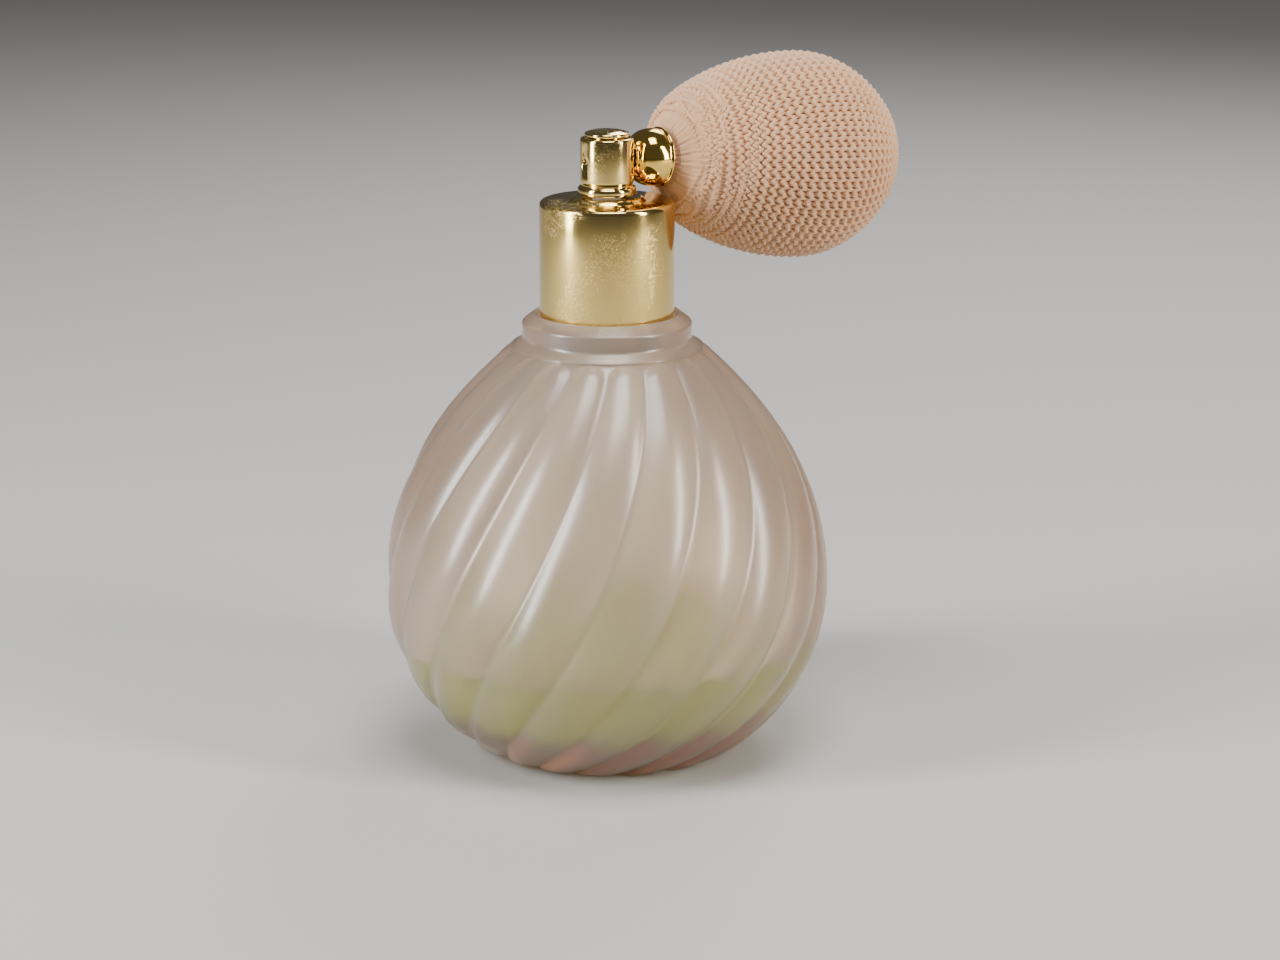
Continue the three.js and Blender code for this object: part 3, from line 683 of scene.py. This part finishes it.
def gold_plate(name, colour, worn, shine):
    """Polished gold plate; worn is how strongly the scratches and the dust show."""
    material, nodes, links, shader = principled(name, colour, shine, metallic=1.0)
    wear = use_group(nodes, scuffs, Scale=1700)
    dust = use_group(nodes, specks, Scale=1500, Share=0.1 * worn, Size=0.14)
    pale = tuple(min(1.0, c * 1.1 + 0.08) for c in colour)
    scratched = nodes.new("ShaderNodeMath")
    scratched.operation = "MULTIPLY"
    scratched.inputs[1].default_value = worn
    links.new(wear.outputs["Scratch"], scratched.inputs[0])
    with_scratches = mixed(nodes, links, scratched.outputs[0], colour, pale)
    with_dust = mixed(nodes, links, dust.outputs[0], with_scratches, (0.72, 0.7, 0.66))
    links.new(with_dust, shader.inputs["Base Color"])
    rough = nodes.new("ShaderNodeMapRange")
    rough.inputs["From Min"].default_value = 0.35
    rough.inputs["From Max"].default_value = 0.7
    rough.inputs["To Min"].default_value = shine
    rough.inputs["To Max"].default_value = shine + 0.1 * worn
    links.new(wear.outputs["Dull"], rough.inputs["Value"])
    total = nodes.new("ShaderNodeMath")
    total.operation = "ADD"
    links.new(rough.outputs[0], total.inputs[0])
    links.new(scratched.outputs[0], total.inputs[1])
    links.new(total.outputs[0], shader.inputs["Roughness"])
    bump = nodes.new("ShaderNodeBump")
    bump.inputs["Strength"].default_value = 0.25 * worn
    bump.inputs["Distance"].default_value = 0.0001
    links.new(wear.outputs["Scratch"], bump.inputs["Height"])
    links.new(bump.outputs["Normal"], shader.inputs["Normal"])
    return material


GOLD = (0.8, 0.59, 0.2)
collar_gold = gold_plate("collar_gold", GOLD, 1.0, 0.08)
head_gold = gold_plate("head_gold", (0.86, 0.64, 0.22), 0.35, 0.07)

collar_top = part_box("collar_shell")[1].z / MM - 0.7
COLLAR_WALL = 0.5
PLATE = 0.8
BOSS_R = 6.5
STEM_HOLE_R = 2.9
collar_line = rounded(
    [
        (collar_r - COLLAR_WALL, collar_foot, 0.15),
        (collar_r, collar_foot, 0.2),
        (collar_r, collar_top, 0.9),
        (BOSS_R + 0.4, collar_top, 0.3),
        (BOSS_R - 0.2, collar_top + 0.7, 0.4),
        (STEM_HOLE_R, collar_top + 0.7, 0.15),
        (STEM_HOLE_R, collar_top - PLATE, 0.1),
        (collar_r - COLLAR_WALL, collar_top - PLATE, 0.2),
    ],
    5,
)
collar = turned("collar", collar_line, 128)
finished(collar, collar_gold, "collar", "gold_metal", "collar_shell")


# ---- Spray head ----
# A gold-coloured thimble with a beaded foot and a necked waist, closed by a domed button. The
# nozzle's hole is in its front.

head_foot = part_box("head_shell")[0].z / MM
head_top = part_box("head_shell")[1].z / MM
HEAD_R = 4.75
HEAD_WALL = 0.5
head_line = rounded(
    [
        (HEAD_R - HEAD_WALL, head_foot, 0.1),
        (HEAD_R + 0.45, head_foot, 0.35),
        (HEAD_R + 0.45, head_foot + 1.2, 0.45),
        (HEAD_R - 0.2, head_foot + 1.55, 0.25),
        (HEAD_R, head_foot + 2.3, 0.25),
        (HEAD_R, head_top, 0.5),
        (3.3, head_top, 0.1),
        (3.3, head_top - HEAD_WALL, 0.1),
        (HEAD_R - HEAD_WALL, head_top - HEAD_WALL, 0.1),
    ],
    5,
)
head = turned("head_thimble", head_line, 96)
port_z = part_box("liquid_jet")[1].z / MM + 0.2
to_nozzle = Matrix.Translation((0, 0, port_z * MM)) @ Matrix.Rotation(-math.pi / 2, 4, "Y")
NOZZLE_R = 0.9
drill = turned("drill", [(0, 3.4), (NOZZLE_R, 3.4), (NOZZLE_R, 6), (0, 6)], 40, closed=False, place=to_nozzle)
bore = head.modifiers.new("bore", "BOOLEAN")
bore.operation = "DIFFERENCE"
bore.solver = "EXACT"
bore.object = drill
drilled = bpy.data.meshes.new_from_object(head.evaluated_get(bpy.context.evaluated_depsgraph_get()))
head.modifiers.clear()
head.data = drilled
bpy.data.objects.remove(drill)
finished(head, head_gold, "head", "gold_metal", "head_shell")

button_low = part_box("head_cap")[0].z / MM
button_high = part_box("head_cap")[1].z / MM
button_seat = head_top + 0.3
BUTTON_PLUG_R = 3.0
BUTTON_R = 3.95
DOME_R = 2.6
dome_foot = button_high - 0.18
button_side = rounded(
    [
        (BUTTON_PLUG_R, button_seat, 0),
        (BUTTON_R, button_seat, 0.15),
        (BUTTON_R, button_high - 0.55, 0.3),
        (DOME_R, dome_foot, 0),
    ],
    4,
)
button_line = np.vstack(
    [
        [(0, button_low), (BUTTON_PLUG_R, button_low), (BUTTON_PLUG_R, button_seat)],
        button_side[1:],
        bezier([(DOME_R, dome_foot), (1.4, button_high), (0, button_high)], 6)[1:],
    ]
)
button = turned("head_button", button_line, 72, closed=False)
finished(button, head_gold, "head", "gold_metal", "head_cap")

NOZZLE_BACK = 2.6
NOZZLE_BORE_R = 0.3
nozzle_line = rounded(
    [
        (NOZZLE_R - 0.02, NOZZLE_BACK, 0.05),
        (NOZZLE_R - 0.02, HEAD_R - 0.04, 0.06),
        (NOZZLE_BORE_R, HEAD_R - 0.1, 0.05),
        (NOZZLE_BORE_R, NOZZLE_BACK, 0),
    ],
    3,
)
nozzle = turned("nozzle", nozzle_line, 32, place=to_nozzle)
finished(nozzle, head_gold, "head", "gold_metal", "nozzle_insert")


# ---- Cup ----
# A gold-coloured bell with a turned rim, fixed to the head's side by the nipple inside it. It hides
# the tied end of the bulb's cover.

squeeze = next(j for j in frame["joints"] if j["name"] == "bulb_squeeze")
bulb_axis = -Vector(squeeze["axis"]).normalized()
droop = Vector((0, 0, 1)).rotation_difference(bulb_axis).to_matrix().to_4x4()
to_bulb = Matrix.Translation((0, 0, port_z * MM)) @ droop

CUP_FOOT = 5.05
CUP_FOOT_R = 2.65
CUP_RIM_R = 5.35
CUP_L = 5.9
CUP_WALL = 0.45
CUP_HOLE_R = 1.7
cup_flare = bezier(
    [
        (CUP_FOOT_R, CUP_FOOT + 0.4),
        (CUP_RIM_R - 0.35, CUP_FOOT + 1.2),
        (CUP_RIM_R - 0.1, CUP_FOOT + 3.2),
        (CUP_RIM_R - 0.25, CUP_FOOT + 5.4),
    ],
    20,
)
cup_inside = inset(cup_flare, CUP_WALL)
cup_inside = cup_inside[cup_inside[:, 1] > CUP_FOOT + 1.1][::-1]
rim_outside = [
    (CUP_RIM_R - 0.22, CUP_FOOT + 5.45),
    (CUP_RIM_R + 0.12, CUP_FOOT + 5.6),
    (CUP_RIM_R, CUP_FOOT + 5.85),
]
rim_inside = [
    (CUP_RIM_R - 0.05, CUP_FOOT + CUP_L),
    (CUP_RIM_R - 0.3, CUP_FOOT + CUP_L + 0.05),
    (CUP_RIM_R - 0.5, CUP_FOOT + CUP_L - 0.2),
]
cup_line = np.vstack(
    [
        [(CUP_HOLE_R, CUP_FOOT), (CUP_FOOT_R - 0.3, CUP_FOOT), (CUP_FOOT_R - 0.05, CUP_FOOT + 0.2)],
        cup_flare,
        bezier(rim_outside, 4),
        bezier(rim_inside, 4),
        cup_inside,
        [(CUP_FOOT_R - CUP_WALL, CUP_FOOT + 0.8), (CUP_HOLE_R, CUP_FOOT + 0.8)],
    ]
)
cup_gold = gold_plate("cup_gold", (0.93, 0.62, 0.14), 0.15, 0.07)
cup = turned("bulb_cup_shell", cup_line, 96, place=to_bulb)
finished(cup, cup_gold, "head", "gold_metal", "bulb_cup")


# ---- Rubber bulb ----
# The hollow rubber bulb that the cover hides, with its neck pushed over the barbs of the nipple.
# Only its shape under the cover matters to the look.

NET_NECK_R = 3.5
NET_CLEAR = collar_r + 0.9
NET_FOOT = 7.85
NET_NECK_END = NET_CLEAR - 2.7
BULB_R = 18.5
BULB_WIDEST = 40.8
BULB_END = 59.6
END_HOLE_R = 2.6


def cover_line(fine):
    """The outside of the cover, from its neck in the cup to the hole at the far end."""
    belly = [
        (11.7, NET_CLEAR + 3.3),
        (13, NET_CLEAR + 5.2),
        (BULB_R, BULB_WIDEST - 13),
        (BULB_R, BULB_WIDEST),
    ]
    far_end = [
        (BULB_R, BULB_WIDEST),
        (BULB_R, BULB_WIDEST + 9),
        (END_HOLE_R + 8, BULB_END),
        (END_HOLE_R, BULB_END),
    ]
    stretches = [
        ([(NET_NECK_R, NET_FOOT), (NET_NECK_R, NET_NECK_END)], 2),
        ([(NET_NECK_R, NET_NECK_END), (NET_NECK_R + 0.1, NET_CLEAR - 1.5), (5.6, NET_CLEAR - 1.2)], 2),
        ([(5.6, NET_CLEAR - 1.2), (6.3, NET_CLEAR - 0.7), (7.2, NET_CLEAR)], 2),
        ([(7.2, NET_CLEAR), (9.9, NET_CLEAR + 1), (11.7, NET_CLEAR + 3.3)], 3),
        (belly, 9),
        (far_end, 9),
    ]
    lines = [bezier(points, steps * fine) for points, steps in stretches]
    return np.vstack([lines[0]] + [line[1:] for line in lines[1:]])


def skin(distance, fine=2):
    """A line that far inside the cover, squared off at the far hole."""
    line = inset(cover_line(fine), distance)
    line = line[(line[:, 1] < BULB_WIDEST) | (line[:, 0] > END_HOLE_R + 0.8)]
    return np.vstack([line, [(END_HOLE_R, BULB_END - distance)]])


def rubber_material():
    material, nodes, links, shader = principled("dipped_rubber", (0.42, 0.29, 0.2), 0.6)
    place = nodes.new("ShaderNodeTexCoord")
    cloud = nodes.new("ShaderNodeTexNoise")
    cloud.inputs["Scale"].default_value = 150
    links.new(place.outputs["Object"], cloud.inputs["Vector"])
    colour = mixed(nodes, links, cloud.outputs["Fac"], (0.36, 0.25, 0.17), (0.5, 0.35, 0.25))
    links.new(colour, shader.inputs["Base Color"])
    return material


def squeezed(piece):
    """Gives a soft piece a mesh of its own."""
    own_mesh(piece)


RUBBER_BORE_R = 1.9
RUBBER_NECK_R = 2.4
RUBBER_FOOT = 7.2
RUBBER_GRIP_END = 14.5
rubber_neck = [
    (RUBBER_BORE_R, RUBBER_FOOT),
    (RUBBER_NECK_R, RUBBER_FOOT),
    (RUBBER_NECK_R, NET_NECK_END + 1),
]
rubber_outside = skin(1.5)
rubber_outside = rubber_outside[rubber_outside[:, 1] > NET_CLEAR + 0.2]
rubber_inside = skin(3.3)
rubber_inside = rubber_inside[rubber_inside[:, 1] > NET_CLEAR + 2][::-1]
rubber_end = [(RUBBER_BORE_R, RUBBER_GRIP_END)]
rubber_line = np.vstack([rubber_neck, rubber_outside, rubber_inside, rubber_end])
rubber = turned("rubber_skin", rubber_line, 72, place=to_bulb)
finished(rubber, rubber_material(), "head", "bulb_rubber", "rubber_bulb")
squeezed(rubber)


# ---- Knitted cover ----
# A tube of peach yarn, knitted with its purl side out and drawn in at both ends. Each course is one
# ring of yarn whose loops lie over the next course's.

COVER_INSET = 0.85
COVER_T = 0.4
YARN_INSET = 0.5
YARN_R = 0.52
STITCHES = 60
COURSES = 33
GATHER_END = NET_CLEAR + 6.5


def cotton(name, colour, shade, fibre):
    """Soft cotton: mottled along the yarn, with a fuzzy sheen and fine fibres in the bump."""
    material, nodes, links, shader = principled(name, colour, 0.95)
    shader.inputs["Sheen Weight"].default_value = 0.35
    shader.inputs["Sheen Roughness"].default_value = 0.5
    place = nodes.new("ShaderNodeTexCoord")
    mottle = nodes.new("ShaderNodeTexNoise")
    mottle.inputs["Scale"].default_value = 420
    mottle.inputs["Detail"].default_value = 3
    links.new(place.outputs["Object"], mottle.inputs["Vector"])
    links.new(mixed(nodes, links, mottle.outputs["Fac"], shade, colour), shader.inputs["Base Color"])
    fuzz = nodes.new("ShaderNodeTexNoise")
    fuzz.inputs["Scale"].default_value = fibre
    fuzz.inputs["Detail"].default_value = 2
    links.new(place.outputs["Object"], fuzz.inputs["Vector"])
    bump = nodes.new("ShaderNodeBump")
    bump.inputs["Strength"].default_value = 0.5
    bump.inputs["Distance"].default_value = 0.0001
    links.new(fuzz.outputs["Fac"], bump.inputs["Height"])
    links.new(bump.outputs["Normal"], shader.inputs["Normal"])
    return material


def stitch_tree():
    """Knits rings of yarn over a surface that is turned from an outline curve."""
    tree = Tree(
        "purl_stitches",
        [
            ("Stitches", "NodeSocketInt", 60),
            ("Courses", "NodeSocketInt", 30),
            ("Samples", "NodeSocketInt", 8),
            ("Loop Reach", "NodeSocketFloat", 0.0013),
            ("Loop Sway", "NodeSocketFloat", 0.16),
            ("Drift", "NodeSocketFloat", 0.001),
            ("Lift", "NodeSocketFloat", 0.0003),
            ("Yarn Radius", "NodeSocketFloat", 0.0004),
            ("Full Radius", "NodeSocketFloat", 0.018),
            ("Yarn", "NodeSocketMaterial", None),
        ],
    )
    outline = tree.given("Geometry")
    around = tree.math("MULTIPLY", tree.given("Stitches"), tree.given("Samples"))
    ring = tree.node("GeometryNodeCurvePrimitiveCircle", {"Resolution": around}, mode="RADIUS")
    rows = tree.node("GeometryNodeMeshLine", {"Count": tree.given("Courses")})
    row_points = tree.node("GeometryNodeMeshToPoints", {"Mesh": rows})
    numbered = tree.node(
        "GeometryNodeStoreNamedAttribute",
        {"Geometry": row_points, "Name": "course", "Value": tree.node("GeometryNodeInputIndex")},
        data_type="FLOAT",
        domain="POINT",
    )
    rings = tree.node("GeometryNodeInstanceOnPoints", {"Points": numbered, "Instance": ring})
    yarn = tree.node("GeometryNodeRealizeInstances", {0: rings})
    course = tree.attribute("course")
    phase = tree.math("MULTIPLY", tree.node("GeometryNodeSplineParameter"), 2 * math.pi)
    turn = tree.math("MULTIPLY", phase, tree.given("Stitches"))
    twice = tree.math("MULTIPLY", turn, 2)
    row = tree.math("DIVIDE", tree.math("ADD", course, 0.5), tree.given("Courses"))
    swing = tree.math("COSINE", tree.math("MULTIPLY", row, math.pi))
    eased = tree.math("MULTIPLY", tree.math("SUBTRACT", 1, swing), 0.5)
    share = tree.math("ADD", tree.math("MULTIPLY", row, 0.8), tree.math("MULTIPLY", eased, 0.2))
    length = tree.node("GeometryNodeCurveLength", {"Curve": outline})
    near_start = tree.math("POWER", tree.math("SUBTRACT", 1, row), 8)
    waves = tree.math("ADD", tree.math("MULTIPLY", phase, 3), tree.math("MULTIPLY", course, 1.3))
    wander = tree.math("SINE", waves)
    drift = tree.math("MULTIPLY", tree.math("MULTIPLY", tree.given("Drift"), near_start), wander)
    loop = tree.math("MULTIPLY", tree.given("Loop Reach"), tree.math("COSINE", turn))
    reach = tree.math("DIVIDE", tree.math("ADD", loop, drift), length)
    sample = tree.group.nodes.new("GeometryNodeSampleCurve")
    sample.mode = "FACTOR"
    tree.feed(sample.inputs["Curves"], outline)
    tree.feed(sample.inputs["Factor"], tree.math("ADD", share, reach))
    spot = tree.group.nodes.new("ShaderNodeSeparateXYZ")
    tree.feed(spot.inputs[0], sample.outputs["Position"])
    along = tree.group.nodes.new("ShaderNodeSeparateXYZ")
    tree.feed(along.inputs[0], sample.outputs["Tangent"])
    lift = tree.math("MULTIPLY", tree.given("Lift"), tree.math("COSINE", twice))
    radius = tree.math("ADD", spot.outputs["X"], tree.math("MULTIPLY", along.outputs["Z"], lift))
    height = tree.math("SUBTRACT", spot.outputs["Z"], tree.math("MULTIPLY", along.outputs["X"], lift))
    pitch = tree.math("DIVIDE", 2 * math.pi, tree.given("Stitches"))
    full_sway = tree.math("MULTIPLY", tree.given("Loop Sway"), pitch)
    sway = tree.math("MULTIPLY", full_sway, tree.math("SINE", twice))
    angle = tree.math("ADD", phase, sway)
    placed = tree.node(
        "ShaderNodeCombineXYZ",
        {
            0: tree.math("MULTIPLY", radius, tree.math("COSINE", angle)),
            1: tree.math("MULTIPLY", radius, tree.math("SINE", angle)),
            2: height,
        },
    )
    knitted = tree.node("GeometryNodeSetPosition", {"Geometry": yarn, "Position": placed})
    crowd = tree.math("MINIMUM", 1, tree.math("DIVIDE", spot.outputs["X"], tree.given("Full Radius")))
    thick = tree.math("MULTIPLY", tree.given("Yarn Radius"), tree.math("POWER", crowd, 0.6))
    sized = tree.node(
        "GeometryNodeStoreNamedAttribute",
        {"Geometry": knitted, "Name": "thickness", "Value": thick},
        data_type="FLOAT",
        domain="POINT",
    )
    section = tree.node("GeometryNodeCurvePrimitiveCircle", {"Resolution": 5, "Radius": 1.0}, mode="RADIUS")
    tubes = tree.node(
        "GeometryNodeCurveToMesh",
        {"Curve": sized, "Profile Curve": section, "Scale": tree.attribute("thickness")},
    )
    smooth = tree.node("GeometryNodeSetShadeSmooth", {"Geometry": tubes})
    return tree.finish(smooth, tree.given("Yarn"))


PEACH = (0.75, 0.46, 0.26)
yarn = cotton("peach_yarn", PEACH, (0.6, 0.33, 0.18), 5200)
# A dark brown copy of the peach cotton, painted shade for the gaps between the loops.
knit_painted_shade = cotton("peach_painted_shade", (0.22, 0.14, 0.09), (0.15, 0.095, 0.06), 3000)

cover_outside = skin(COVER_INSET)
cover_inside = skin(COVER_INSET + COVER_T)[::-1]
# The dark sheet under the stitches is painted shade: it shows dark wherever the loops part.
cover = turned("knit_cover", np.vstack([cover_outside, cover_inside]), 96, place=to_bulb)
finished(cover, knit_painted_shade, "head", "knit_cover", "bulb_net")
squeezed(cover)

path_line = skin(YARN_INSET, 4)
path_line = path_line[path_line[:, 1] > GATHER_END - 5.5] * MM
path = bpy.data.curves.new("cover_path", "CURVE")
path.dimensions = "3D"
spline = path.splines.new("POLY")
spline.points.add(len(path_line) - 1)
for point, (r, z) in zip(spline.points, path_line):
    point.co = (r, 0, z, 1)
stitches = grown(
    "knit_stitches",
    path,
    stitch_tree(),
    Stitches=STITCHES,
    Courses=COURSES,
    Samples=8,
    Loop_Reach=1.36 * MM,
    Loop_Sway=0.16,
    Drift=1.3 * MM,
    Lift=0.38 * MM,
    Yarn_Radius=YARN_R * MM,
    Full_Radius=BULB_R * MM,
    Yarn=yarn,
)
stitches.data.transform(to_bulb)
finished(stitches, yarn, "head", "knit_cover")
squeezed(stitches)


# ---- Gathers ----
# Next to the bell the knitting is drawn so tight that it closes up into fuzzy lengthwise pleats.
# They are part of the cover, whose neck is bound inside the bell.

PLEAT_DEPTH = 0.3
pleat_outside = skin(0.4, 5)
pleat_outside = pleat_outside[pleat_outside[:, 1] < GATHER_END]
sink = np.clip((pleat_outside[:, 1] - GATHER_END + 5) / 5, 0, 1)
pleat_outside[:, 0] -= 0.5 * sink
pleat_inside = skin(0.8, 3)
pleat_inside = pleat_inside[pleat_inside[:, 1] < GATHER_END - 0.3][::-1]
pleats = turned("cover_gathers", np.vstack([pleat_outside, pleat_inside]), 288, sharp=180)
for vertex in pleats.data.vertices:
    x, y, z = vertex.co / MM
    radius = math.hypot(x, y)
    edge = np.interp(z, pleat_outside[:, 1], pleat_outside[:, 0])
    if radius < edge - 0.12 or z < NET_FOOT + 0.4:
        continue
    angle = math.atan2(y, x)
    fold = 0.45 * math.sin(36 * angle + 2.2 * math.sin(0.9 * z))
    fold += 0.35 * math.sin(55 * angle - 2.6 * math.sin(0.7 * z + 1))
    fold += 0.3 * math.sin(17 * angle + 3 * math.sin(1.7 * z)) * math.sin(2.3 * z + 4 * angle)
    fade = min(1, (GATHER_END - z) / 4)
    vertex.co += Vector((math.cos(angle), math.sin(angle), 0)) * fold * fade * PLEAT_DEPTH * MM
pleats.data.transform(to_bulb)
finished(pleats, cotton("drawn_yarn", PEACH, (0.56, 0.3, 0.16), 1700), "head", "knit_cover")
squeezed(pleats)


# ---- Intake valve ----
# A gold-coloured flange in the far end of the bulb, which lets air in through the ball valve behind
# it. A cord gathers the cover round it.

VALVE_TUBE_R = 2.3
VALVE_SEAT_R = 1.5
VALVE_LOW = 54.6
FLANGE_R = 3.4
AIR_HOLE_R = 0.7
flange_line = rounded(
    [
        (VALVE_SEAT_R, VALVE_LOW, 0.1),
        (VALVE_TUBE_R, VALVE_LOW, 0.1),
        (VALVE_TUBE_R, BULB_END + 0.3, 0.1),
        (FLANGE_R, BULB_END + 0.3, 0.15),
        (FLANGE_R, BULB_END + 1.1, 0.3),
        (1.3, BULB_END + 1.1, 0.2),
        (AIR_HOLE_R, BULB_END + 0.7, 0.1),
        (AIR_HOLE_R, VALVE_LOW + 2.9, 0.1),
        (VALVE_SEAT_R, VALVE_LOW + 2, 0.1),
    ],
    4,
)
flange = turned("valve_flange", flange_line, 64, place=to_bulb)
finished(flange, head_gold, "bulb_end", "gold_metal", "intake_valve_body")

GATHER_R = 0.35
gather_centre = (FLANGE_R + 0.3 + GATHER_R + 0.1, BULB_END + 0.3 + GATHER_R)
gather_angles = np.linspace(0, 2 * math.pi, 12, endpoint=False)
gather_line = np.column_stack(
    [gather_centre[0] + GATHER_R * np.cos(gather_angles), gather_centre[1] + GATHER_R * np.sin(gather_angles)]
)
gather = turned("gather_cord", gather_line, 72, place=to_bulb)
finished(gather, yarn, "bulb_end", "binding_thread", "net_gather")


# ---- Inner pieces ----
# The pieces inside the closure and the bulb, which hardly show and keep their CAD shapes. Each has
# the material of its kind.

def plain(name, colour, shade, roughness, metallic=0.0, transmission=0.0, scale=300):
    """A moulded or turned material with a faint mottle in its colour and gloss."""
    material, nodes, links, shader = principled(name, colour, roughness, metallic)
    shader.inputs["Transmission Weight"].default_value = transmission
    place = nodes.new("ShaderNodeTexCoord")
    cloud = nodes.new("ShaderNodeTexNoise")
    cloud.inputs["Scale"].default_value = scale
    links.new(place.outputs["Object"], cloud.inputs["Vector"])
    links.new(mixed(nodes, links, cloud.outputs["Fac"], shade, colour), shader.inputs["Base Color"])
    rough = nodes.new("ShaderNodeMapRange")
    rough.inputs["To Min"].default_value = roughness * 0.85
    rough.inputs["To Max"].default_value = roughness * 1.15
    links.new(cloud.outputs["Fac"], rough.inputs["Value"])
    links.new(rough.outputs[0], shader.inputs["Roughness"])
    return material


inner_finishes = {
    "white_plastic": plain("white_plastic", (0.84, 0.83, 0.79), (0.8, 0.78, 0.73), 0.45),
    "clear_plastic": plain("clear_tube", (0.9, 0.92, 0.9), (0.86, 0.89, 0.86), 0.2, transmission=0.7),
    "seal_rubber": plain("black_rubber", (0.03, 0.03, 0.03), (0.05, 0.05, 0.05), 0.7),
    "steel": plain("bright_steel", (0.62, 0.62, 0.63), (0.55, 0.55, 0.56), 0.22, metallic=1.0),
    "binding_thread": yarn,
}
inner_nodes = {
    "stem_plug": "white_plastic",
    "swivel_washer": "white_plastic",
    "screw_cap": "white_plastic",
    "head_core": "white_plastic",
    "intake_valve_cage": "white_plastic",
    "dip_tube": "clear_plastic",
    "bottle_gasket": "seal_rubber",
    "liquid_jet": "steel",
    "bulb_nipple": "steel",
    "intake_valve_ball": "steel",
    "neck_binding": "binding_thread",
}
for node_name, finish_name in inner_nodes.items():
    frame["nodes"][node_name].material_slots[0].material = inner_finishes[finish_name]
